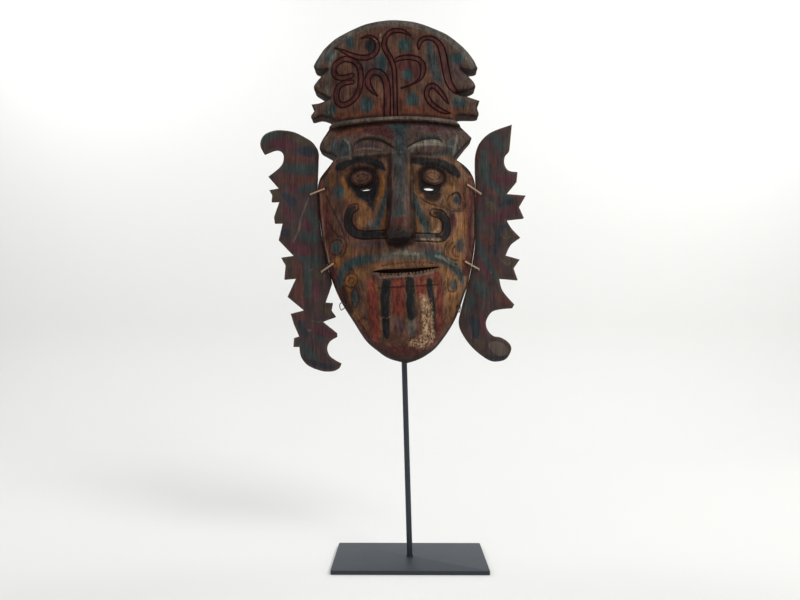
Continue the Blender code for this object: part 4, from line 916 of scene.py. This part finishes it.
# Old earth paints on carved wood: lamp black, dull reds, weathered teal and slate, and a grey lime over a
# brown ground. They are thin and dry, so the grain shows through in fine upright streaks, and they have
# worn on high spots. Dirt and soot have settled in the cut lines and the hollows, and the hollows are
# darkened further with painted shade. Painted light and shade are laid on too: light on the right cheek,
# highlights along the brow ridges and rims, and shade where shadow falls round the eyes, nose and chin.
painted, tree, shade = new_material("worn_earth_paint_on_wood")


def two_tone(tree, dark, light, factor):
    return add(tree, "Mix", {0: factor, 6: linear(dark), 7: linear(light)}, data_type="RGBA").outputs[2]


def mark(tree, name):
    return add(tree, "Attribute", attribute_name=name).outputs["Fac"]


def blend(tree, factor, under, over):
    return add(tree, "Mix", {0: factor, 6: under, 7: over}, data_type="RGBA").outputs[2]


def part_of(tree, value, start, end, low=0.0, high=1.0):
    """The value, from start to end, as a share from low to high."""
    return add(tree, "MapRange", {"Value": value, "From Min": start, "From Max": end, "To Min": low,
                                  "To Max": high}).outputs[0]


def weigh(tree, value, factor, rest):
    return add(tree, "Math", {0: value, 1: factor, 2: rest}, operation="MULTIPLY_ADD").outputs[0]


def cloud(tree, place, size, stretch=1.0, detail=5.0, rough=0.6):
    """Noise with spots of the given size in millimetres, drawn out upright by the stretch."""
    drawn = add(tree, "Mapping", {"Vector": place, "Scale": (1.0, 1.0, 1.0 / stretch)}).outputs[0]
    return add(tree, "TexNoise", {"Vector": drawn, "Scale": 1 / (size * MM), "Detail": detail,
                                  "Roughness": rough}).outputs["Fac"]


def dry_grain(tree, place):
    """Raised grain of old wood, in fine and coarser upright streaks, and specks that break it up."""
    fine = cloud(tree, place, 1.3, 14.0, 4.0, 0.6)
    coarse = cloud(tree, place, 3.6, 11.0, 4.0, 0.65)
    return weigh(tree, fine, 0.45, weigh(tree, coarse, 0.55, 0.0)), cloud(tree, place, 2.4, 1.0, 4.0, 0.7)


def both(tree, first, second):
    return add(tree, "Math", {0: first, 1: second}, operation="MULTIPLY").outputs[0]


def dry_finish(tree, shade, colour, grain, speck, rough, sheen):
    """A matt surface that the grain and the specks roughen."""
    tree.links.new(colour, shade.inputs["Base Color"])
    tree.links.new(part_of(tree, speck, 0.0, 1.0, *rough), shade.inputs["Roughness"])
    shade.inputs["Specular IOR Level"].default_value = sheen
    height = weigh(tree, grain, 1.2, speck)
    bump = add(tree, "Bump", {"Height": height, "Strength": 0.45, "Distance": 0.5 * MM})
    tree.links.new(bump.outputs[0], shade.inputs["Normal"])


place = add(tree, "TexCoord").outputs["Object"]
grain, speck = dry_grain(tree, place)
blotch = cloud(tree, place, 24.0)
fray = cloud(tree, place, 6.5, 1.8, 5.0, 0.68)
mottle = cloud(tree, place, 8.0, 2.2, 6.0, 0.72)
tone = part_of(tree, weigh(tree, mottle, 0.6, weigh(tree, grain, 0.8, -0.2)), 0.38, 0.64)
torn = weigh(tree, fray, 6.0, weigh(tree, speck, 3.0, -4.5))
# The lighter copy of the ground tone is painted light, blended in over the right cheek.
warm = two_tone(tree, "#2c1914", "#5f3e30", tone)
light = two_tone(tree, "#462f21", "#8c6a4f", tone)
cool = two_tone(tree, "#271e1b", "#54453a", tone)
colour = blend(tree, mark(tree, "cool"), blend(tree, mark(tree, "ground"), warm, light), cool)
for name, (dark, pale, soft, ragged, cover) in PIGMENTS.items():
    here = part_of(tree, weigh(tree, torn, ragged / 2, mark(tree, name)), -soft / 2, soft / 2)
    worn = part_of(tree, grain, 0.56, 0.68, cover, cover * 0.55)
    colour = blend(tree, both(tree, here, worn), colour, two_tone(tree, dark, pale, tone))
# Flaked places, where pale dry wood shows between scraps of paint
flake = cloud(tree, place, 4.2, 1.3, 6.0, 0.8)
amount = both(tree, part_of(tree, mark(tree, "bare"), -1.5, 2.5), part_of(tree, flake, 0.46, 0.58))
colour = blend(tree, amount, colour, two_tone(tree, "#6a4b33", "#d0b08a", speck))
# Painted shade and dirt in the hollows, dirt in the cut lines, wear on what stands out, and an uneven film
# over all
# painted shade, with the dirt settled there, darkens what lies below its surroundings
colour = blend(tree, part_of(tree, mark(tree, "relief"), -0.06, -0.8, 0.0, 0.72), colour, linear("#140c0a"))
rubbed = both(tree, part_of(tree, mark(tree, "relief"), 0.3, 1.6), part_of(tree, speck, 0.4, 0.62))
colour = blend(tree, weigh(tree, rubbed, 0.16, 0.0), colour, linear("#806a58"))
colour = blend(tree, part_of(tree, mark(tree, "lines"), 0.1, 0.85, 0.0, 0.85), colour, linear("#230d0b"))
film = part_of(tree, blotch, 0.3, 0.7, 0.7, 1.52)
colour = add(tree, "Mix", {0: 1.0, 6: colour, 7: film}, data_type="RGBA", blend_type="MULTIPLY").outputs[2]
# The sawn sides are coloured near black; the back and the hollow were never painted
near_black_sides = two_tone(tree, "#120b09", "#2e1f18", tone)
colour = blend(tree, weigh(tree, mark(tree, "side"), 0.9, 0.0), colour, near_black_sides)
colour = blend(tree, mark(tree, "raw"), colour, two_tone(tree, "#45321f", "#7a6045", tone))
dry_finish(tree, shade, colour, grain, speck, (0.55, 0.88), 0.14)
show("carved_mask", mask_mesh, painted, ["mask"])

# Ear boards
# Two flat boards of the same wood, 9 mm thick, their outer edges cut into points and scallops. Each
# hangs on two ties beside the face. The paint is patchy dark red and dark teal over a dark ground.
EAR_THICK = 9.0
EAR_LEFT = [
    (-182, 584, 0), (-189.1, 576, 0), (-190.4, 566, 0), (-185.5, 555.4, 1), (-169, 561, 0),
    (-160.5, 556.5, 0), (-158.5, 547, 0), (-163.5, 536, 0), (-180, 523, 1), (-166, 506, 1),
    (-179, 504, 1), (-175, 497, 1), (-176, 488, 1), (-165, 488, 1), (-173, 466, 1), (-172, 458, 1),
    (-161, 458, 1), (-167, 434, 1), (-147, 412, 1), (-164, 410, 1), (-158, 399, 1), (-160, 380, 1),
    (-144, 381, 1), (-156, 356, 1), (-134, 337, 1), (-152, 333, 1), (-148, 319, 1), (-141, 302, 1),
    (-148, 300, 1), (-149, 288, 1), (-141, 288, 1), (-139, 275, 0), (-130, 263, 0), (-112, 255, 0),
    (-97, 254, 0), (-88, 258, 0), (-85, 264, 1), (-93, 268.5, 0), (-101, 275, 0), (-104, 285, 0),
    (-100, 294, 0), (-90, 300, 1), (-90, 305, 1), (-109, 321, 1), (-91, 327, 1), (-97, 336, 1),
    (-95, 346, 1), (-105, 347, 1), (-95.4, 373, 1), (-97.8, 384, 0), (-101.9, 398, 0),
    (-109.8, 448, 0), (-112.8, 500, 0), (-112.2, 520, 0), (-111, 543, 0), (-111, 557, 0),
    (-118, 569, 0), (-129, 577, 0), (-145, 585, 0), (-166, 588, 0)]
EAR_RIGHT = [
    (158, 586, 1), (153, 549, 1), (146.5, 541, 0), (145.5, 530, 0), (151, 521.5, 0), (163, 519, 1),
    (161, 505, 1), (147, 489, 1), (172.95, 486, 1), (163, 470, 1), (169, 455, 1), (145, 453, 1),
    (151.5, 441, 0), (163, 428, 1), (149.5, 418, 0), (142, 404, 1), (161, 398, 1), (152, 386, 1),
    (157, 370, 1), (132, 373, 1), (136, 356, 0), (151, 337, 1), (148, 332, 1), (132, 331, 0),
    (119.5, 327, 0), (112, 315, 0), (113.5, 304, 0), (121, 295.5, 0), (131, 293, 0), (141, 286, 0),
    (144.5, 277, 0), (138, 265, 0), (127, 261, 0), (114, 263, 0), (95, 278, 0), (81, 297, 0),
    (75.4, 314, 0), (80, 335, 0), (89.2, 365, 0), (94.8, 386, 0), (101.3, 420, 0), (103.9, 465, 0),
    (105, 500, 0), (105, 525, 0), (106.5, 546, 0), (113, 562, 0), (129, 576, 0)]

# Where the paint lies on the ear boards, as strokes of place and half width in millimetres
EAR_PAINT = {
    "left": {
        "olive": [[(-150, 580, 3), (-136, 575, 6), (-124, 568, 4)], [(-175, 502, 2), (-169, 495, 6)],
            [(-163, 412, 1), (-152, 402, 5)], [(-108, 340, 3), (-98, 334, 5)],
            [(-118, 390, 3), (-110, 383, 6)], [(-146, 388, 3), (-152, 372, 5)],
            [(-168, 466, 4), (-162, 474, 3)]],
        "rust": [[(-152, 548, 4), (-136, 542, 7), (-119, 545, 4)],
            [(-150, 517, 4), (-134, 515, 7), (-117, 517, 5)],
            [(-142, 399, 5), (-140, 370, 5), (-138, 345, 4)], [(-150, 362, 3), (-143, 358, 5)],
            [(-143, 332, 3), (-134, 327, 5)], [(-156, 520, 4), (-166, 514, 4)]],
        "maroon": [[(-172, 569, 5), (-156, 567, 8), (-146, 565, 5)], [(-152, 507, 3), (-142, 504, 6)],
            [(-160, 478, 3), (-152, 466, 5)], [(-134, 456, 4), (-126, 452, 7)],
            [(-150, 428, 5), (-140, 422, 8), (-127, 417, 6)],
            [(-120, 376, 3), (-116, 363, 5), (-116, 352, 3)],
            [(-124, 314, 3), (-112, 308, 6), (-100, 306, 5), (-94, 303, 3)]],
        "green": [[(-185, 572, 5), (-178, 580, 6), (-166, 583, 4)],
            [(-156, 535, 4), (-130, 532, 8), (-115, 532, 6)],
            [(-136, 503, 4), (-122, 506, 6), (-115, 508, 4)],
            [(-124, 472, 5), (-118, 460, 6), (-116, 448, 4)],
            [(-138, 440, 3), (-124, 437, 7), (-114, 434, 5)],
            [(-136, 408, 3), (-122, 404, 7), (-110, 404, 5)],
            [(-127, 396, 4), (-127, 378, 5.5), (-128, 358, 4)], [(-120, 303, 2), (-112, 298, 4)],
            [(-138, 293, 4), (-131, 282, 7), (-122, 273, 5)]],
        "blue": [[(-137, 558, 4), (-122, 556, 8)], [(-158, 496, 4), (-147, 486, 7)],
            [(-166, 446, 3), (-156, 444, 6)], [(-128, 268, 3), (-110, 262, 4), (-96, 260, 3)],
            [(-140, 320, 4), (-132, 304, 4)]],
        "scratch": [[(-124, 492, 1.1), (-130, 478, 1.3), (-135, 465, 1.2), (-138, 450, 1.4),
             (-142, 440, 1.3), (-147, 430, 0.8)], [(-124, 322.5, 0.5), (-108, 320, 0.7)],
            [(-110, 322, 0.8), (-95, 309, 0.9)], [(-124, 391, 0.9), (-121, 393, 1.2)],
            [(-128, 310, 1.6), (-126, 310, 1.8)]]},
    "right": {
        "olive": [[(154, 440, 3), (146, 431, 5), (140, 422, 3)],
            [(138, 398, 3), (148, 393, 5), (156, 390, 3)], [(118, 484, 2), (123, 475, 4), (131, 468, 3)],
            [(96, 291, 3), (106, 282, 4)], [(150, 552, 3), (154, 570, 2)]],
        "rust": [[(104, 549, 4), (110, 543, 6)], [(124, 541, 4), (130, 532, 5)],
            [(112, 430, 3), (119, 424, 6), (128, 424, 3)], [(127, 389, 3), (132, 380, 4)],
            [(126, 350, 3), (136, 343, 5), (146, 338, 3)], [(124, 492, 4), (140, 490, 3), (162, 486, 4)]],
        "maroon": [[(134, 511, 4), (144, 508, 7), (156, 510, 3)],
            [(118, 452, 4), (140, 461, 4.5), (160, 470, 5)],
            [(106, 400, 3), (112, 392, 6), (118, 378, 5)], [(106, 321, 3), (110, 312, 6), (108, 300, 3)],
            [(108, 500, 3), (108, 478, 4)]],
        "green": [[(130, 571, 5), (138, 562, 8), (142, 552, 5)],
            [(117, 546, 5), (118, 525, 7), (118, 508, 5)],
            [(118, 512, 3), (132, 498, 4.5), (150, 479, 6)],
            [(109, 463, 3), (106, 453, 5), (106, 444, 4)],
            [(102, 428, 3.5), (109, 408, 4.5), (119, 390, 4.5), (130, 371, 4)],
            [(100, 368, 4), (107, 360, 8), (112, 350, 4)], [(92, 351, 4), (93, 342, 6), (87, 334, 4)]],
        "blue": [[(92, 320, 4), (97, 310, 7), (97, 296, 4)],
            [(146, 446, 2), (134, 438, 4), (128, 410, 4)], [(138, 474, 3), (152, 478, 4)],
            [(112, 268, 3), (124, 264, 3), (136, 268, 3)]],
        "scratch": [[(119, 283, 5), (126, 279, 9), (132, 276, 8)],
            [(136, 433, 0.6), (143, 427, 0.7), (150, 431, 0.6)],
            [(136, 398, 0.6), (143, 391, 0.6), (150, 395, 0.6)],
            [(114, 475, 0.6), (121, 478, 0.6), (128, 474, 0.6)], [(121, 380.5, 1.0), (121, 381.5, 1.0)],
            [(126, 414.6, 0.9), (126, 415.4, 0.9)]]}}
EAR_PIGMENTS = {
    # name: dark and light tone, half width of its soft edge, how ragged, how much it covers
    "olive": ("#2c261c", "#514838", 3.0, 1.2, 0.8), "rust": ("#3a201c", "#5f3a32", 3.0, 1.0, 0.8),
    "maroon": ("#341a21", "#5c323a", 2.6, 1.0, 0.8), "green": ("#1d2625", "#3c4846", 2.4, 1.0, 0.82),
    "blue": ("#14181d", "#2f3740", 2.6, 1.0, 0.82), "scratch": ("#3d3a35", "#6c6053", 1.0, 0.5, 0.7)}

# The same earth paints, laid on in patches that overlap and dull each other, over a dark red-brown
# ground. Low in contrast, with worn brown edges and almost black sides.
ear_paint, tree, shade = new_material("patchy_ear_board_paint")
place = add(tree, "TexCoord").outputs["Object"]
grain, speck = dry_grain(tree, place)
blotch = cloud(tree, place, 18.0)
fray = cloud(tree, place, 7.0, 1.5, 5.0, 0.66)
tone = part_of(tree, grain, 0.34, 0.66)
torn = weigh(tree, fray, 6.0, weigh(tree, speck, 2.0, -4.0))
colour = two_tone(tree, "#2a1f1f", "#4c3c3a", tone)
for name, (dark, pale, soft, ragged, cover) in EAR_PIGMENTS.items():
    here = part_of(tree, weigh(tree, torn, ragged / 2, mark(tree, name)), -soft / 2, soft / 2)
    colour = blend(tree, weigh(tree, here, cover, 0.0), colour, two_tone(tree, dark, pale, tone))
film = part_of(tree, blotch, 0.3, 0.7, 0.82, 1.24)
colour = add(tree, "Mix", {0: 1.0, 6: colour, 7: film}, data_type="RGBA", blend_type="MULTIPLY").outputs[2]
rubbed = both(tree, part_of(tree, mark(tree, "rim"), 3.2, 0.8), part_of(tree, speck, 0.42, 0.6))
colour = blend(tree, weigh(tree, rubbed, 0.6, 0.0), colour, linear("#5c4839"))
near_black_sides = two_tone(tree, "#0e0a09", "#2a1e19", tone)
colour = blend(tree, weigh(tree, mark(tree, "side"), 0.92, 0.0), colour, near_black_sides)
colour = blend(tree, mark(tree, "raw"), colour, two_tone(tree, "#33231a", "#5c4633", tone))
dry_finish(tree, shade, colour, grain, speck, (0.5, 0.85), 0.18)

for side, points, at in (("left", EAR_LEFT, TIES[:2]), ("right", EAR_RIGHT, TIES[2:])):
    ear = outline(points, 1.6)
    loops = [ear] + [ellipse(u, z, STRAND_HOLE, STRAND_HOLE, 14) for _, (u, z) in at]

    def ear_front(u, z):
        rim = distance(u, z, ear, 8, closed=True)
        return (EAR_THICK - 1.6 * np.clip(1 - rim / 2.6, 0, 1) ** 1.6 + 0.3 * ripple(u, z, 12, 4.2, 1.5) - 0.3
                + 0.14 * ripple(u, z, 2.6, 8.8, 8.0))

    def ear_back(u, z):
        rim = distance(u, z, ear, 8, closed=True)
        return 0.9 * np.clip(1 - rim / 1.8, 0, 1) ** 1.7 + 0.15 + 0.12 * ripple(u, z, 5, 6.2, 4.0)

    def ear_marks(u, z, fronts, verts):
        n = len(u)
        marks = {name: np.full(n, -14.0) for name in EAR_PIGMENTS}
        for name, strokes in EAR_PAINT[side].items():
            for points in strokes:
                lay(marks, name, stroke(u, z, points))
        marks["rim"] = distance(u, z, ear, 14, closed=True)
        behind = np.arange(n) >= fronts
        marks["raw"] = np.where(behind & (verts[:, 1] > BACK_Y - 1.6), 1.0, 0.0)
        marks["side"] = np.where(behind, 1.0, 0.0) * (1 - marks["raw"])
        return marks

    rims = [beside(np.vstack([ear, ear[:1]]), d) for d in (0.8, 1.6, 2.6)]
    mesh = board("ear_board_" + side + "_finished", loops, rims, (1.9, 4.0), ear_front, ear_back, ear_marks)
    show("notched_ear_" + side, mesh, ear_paint, ["ear_board_" + side])

# Rattan ties
# Each is a strip of split rattan, passed through a hole in the rim and one in the ear board and round
# again. The outer skin is smooth and tan with darker pores along it.
STRAND = 1.15
rattan, tree, shade = new_material("split_rattan")
place = add(tree, "TexCoord").outputs["Object"]
drawn = add(tree, "Mapping", {"Vector": place, "Scale": (0.25, 1.0, 1.0)})
fibre = add(tree, "TexNoise", {"Vector": drawn.outputs[0], "Scale": 1 / (0.8 * MM), "Detail": 4.0})
skin = two_tone(tree, "#6f5a44", "#d0b491", fibre.outputs["Fac"])
tree.links.new(skin, shade.inputs["Base Color"])
shade.inputs["Roughness"].default_value = 0.55
bump = add(tree, "Bump", {"Height": fibre.outputs["Fac"], "Strength": 0.4, "Distance": 0.2 * MM})
tree.links.new(bump.outputs[0], shade.inputs["Normal"])


def strand(name, path, radius, flat, sides=12):
    """A strip along a closed path of (u, y, z) points; flat is its thickness over its width."""
    base = [Vector(q) for q in path]
    n = len(base)
    pts = []
    for i in range(n):
        a, b, before, after = base[i], base[(i + 1) % n], base[i - 1], base[(i + 2) % n]
        steps = max(2, int((b - a).length / 0.8))
        for k in range(steps):
            t = k / steps
            curve = 0.5 * (2 * a + (b - before) * t + (2 * before - 5 * a + 4 * b - after) * t * t
                           + (3 * a - before - 3 * b + after) * t ** 3)
            pts.append(a.lerp(b, t).lerp(curve, 0.6))
    n = len(pts)
    verts, faces, normal = [], [], None
    for i in range(n):
        way = (pts[(i + 1) % n] - pts[i - 1]).normalized()
        normal = way.orthogonal() if normal is None else normal
        normal = (normal - way * normal.dot(way)).normalized()
        other = way.cross(normal)
        for k in range(sides):
            w = 2 * math.pi * k / sides
            verts.append((pts[i] + radius * (math.cos(w) * normal + flat * math.sin(w) * other)) * MM)
    for i in range(n):
        j, shift = (i + 1) % n, 0
        if j == 0:
            gaps = [(verts[(n - 1) * sides] - verts[k]).length for k in range(sides)]
            shift = gaps.index(min(gaps))
        for k in range(sides):
            faces.append((i * sides + k, i * sides + (k + 1) % sides,
                          j * sides + (k + 1 + shift) % sides, j * sides + (k + shift) % sides))
    mesh = bpy.data.meshes.new(name)
    mesh.from_pydata(verts, [], faces)
    mesh.transform(lean)
    mesh.shade_smooth()
    return mesh


def face_height(spot):
    return float(carve(np.array([spot[0]]), np.array([spot[1]]))[0][0])


for name, (face, ear) in zip(("upper_left", "lower_left", "upper_right", "lower_right"), TIES):
    f, e = np.array(face), np.array(ear)
    way = (e - f) / np.hypot(*(e - f))
    pf = max(face_height(f), face_height(f + 2.6 * way))
    steps = [(f, -0.3), (f, pf + 0.8), (f + 1.3 * way, pf + 1.9), (e - 1.2 * way, EAR_THICK + 2.1),
             (e, EAR_THICK + 0.9), (e, -0.3), (e - 1.3 * way, -1.8), (f + 1.3 * way, -1.8)]
    mesh = strand("tie_" + name + "_finished", [(q[0], BACK_Y - p, q[1]) for q, p in steps], STRAND, 0.8)
    show("rattan_" + name, mesh, rattan, ["tie_" + name])

# Wire loops at the jaw
# A thin iron wire bent through a hole near the edge of the jaw on each side. It stands out from the edge
# in a small uneven loop, dark with old rust.
WIRE = 0.6
iron, tree, shade = new_material("rusted_iron_wire")
place = add(tree, "TexCoord").outputs["Object"]
rust = add(tree, "TexNoise", {"Vector": place, "Scale": 1 / (1.2 * MM), "Detail": 4.0})
tree.links.new(two_tone(tree, "#0b0908", "#2a1a14", rust.outputs["Fac"]), shade.inputs["Base Color"])
shade.inputs["Metallic"].default_value = 0.4
shade.inputs["Roughness"].default_value = 0.7
bump = add(tree, "Bump", {"Height": rust.outputs["Fac"], "Strength": 0.5, "Distance": 0.15 * MM})
tree.links.new(bump.outputs[0], shade.inputs["Normal"])
for side, (hole, out, reach) in zip(("left", "right"), JAW_LOOPS):
    h, n = np.array(hole), np.array(out)
    along = np.array([0.0, 1.0])
    pf = max(face_height(h + d * along) for d in (0.0, 2.0, 3.0))
    steps = [(h, -0.6), (h, pf + 1.0), (h + 0.7 * n + 1.2 * along, pf + 2.0),
             (h + 0.5 * reach * n + 2.6 * along, pf + 1.2), (h + 0.9 * reach * n + 2.4 * along, pf - 6.0),
             (h + reach * n - 1.6 * along, 3.5), (h + 0.85 * reach * n - 4.6 * along, -1.4),
             (h + 0.4 * reach * n - 3.6 * along, -2.0), (h + 0.05 * reach * n - 1.3 * along, -1.7)]
    mesh = strand("jaw_loop_" + side + "_finished", [(q[0], BACK_Y - p, q[1]) for q, p in steps], WIRE, 1.0)
    show("jaw_wire_" + side, mesh, iron, ["jaw_loop_" + side])

# Floor and light
# A plain pale floor that curves up into a pale background. The key is soft daylight from the upper right
# in front, with a weaker one from the left, and two more lights keep the background near white.
pale_floor, tree, shade = new_material("pale_floor")
shade.inputs["Base Color"].default_value = linear("#ececea")
shade.inputs["Roughness"].default_value = 0.9
BEHIND, TALL, BEND, WIDE, NEAR = 1.1, 2.6, 0.35, 3.0, 2.5
profile = [(-NEAR, 0.0), (BEHIND - BEND, 0.0)]
profile += [(BEHIND - BEND + BEND * math.sin(w), BEND - BEND * math.cos(w))
            for w in (math.radians(a) for a in range(6, 91, 6))]
profile += [(BEHIND, TALL)]
verts = [(x, y, z - 0.0002) for y, z in profile for x in (-WIDE, WIDE)]
faces = [(2 * i, 2 * i + 1, 2 * i + 3, 2 * i + 2) for i in range(len(profile) - 1)]
sweep = bpy.data.meshes.new("floor")
sweep.from_pydata(verts, [], faces)
sweep.shade_smooth()
sweep.materials.append(pale_floor)
floor = bpy.data.objects.new("floor", sweep)
bpy.context.scene.collection.objects.link(floor)


def soft_light(name, place, aim, size, power, colour):
    lamp = bpy.data.lights.new(name, "AREA")
    lamp.shape, lamp.size, lamp.energy, lamp.color = "SQUARE", size, power, linear(colour)[:3]
    holder = bpy.data.objects.new(name, lamp)
    holder.location = place
    holder.rotation_euler = (Vector(aim) - Vector(place)).to_track_quat("-Z", "Y").to_euler()
    holder.visible_camera = False
    bpy.context.scene.collection.objects.link(holder)


soft_light("key_upper_right", (1.3, -1.2, 1.8), (0, 0, 0.5), 0.8, 24.0, "#fffdf8")
soft_light("fill_left", (-1.6, -1.2, 1.0), (0, 0, 0.5), 1.0, 4.5, "#f4f7ff")
soft_light("background_left", (-1.2, 0.3, 1.7), (-0.3, 1.1, 0.5), 0.8, 9.0, "#ffffff")
soft_light("background_right", (1.2, 0.3, 1.7), (0.3, 1.1, 0.5), 0.8, 9.0, "#ffffff")
world = bpy.data.worlds.new("daylight")
bpy.context.scene.world = world
world.use_nodes = True
world.node_tree.nodes["Background"].inputs["Color"].default_value = linear("#f4f6fa")
world.node_tree.nodes["Background"].inputs["Strength"].default_value = 0.45
bpy.context.scene.view_settings.view_transform = "Standard"
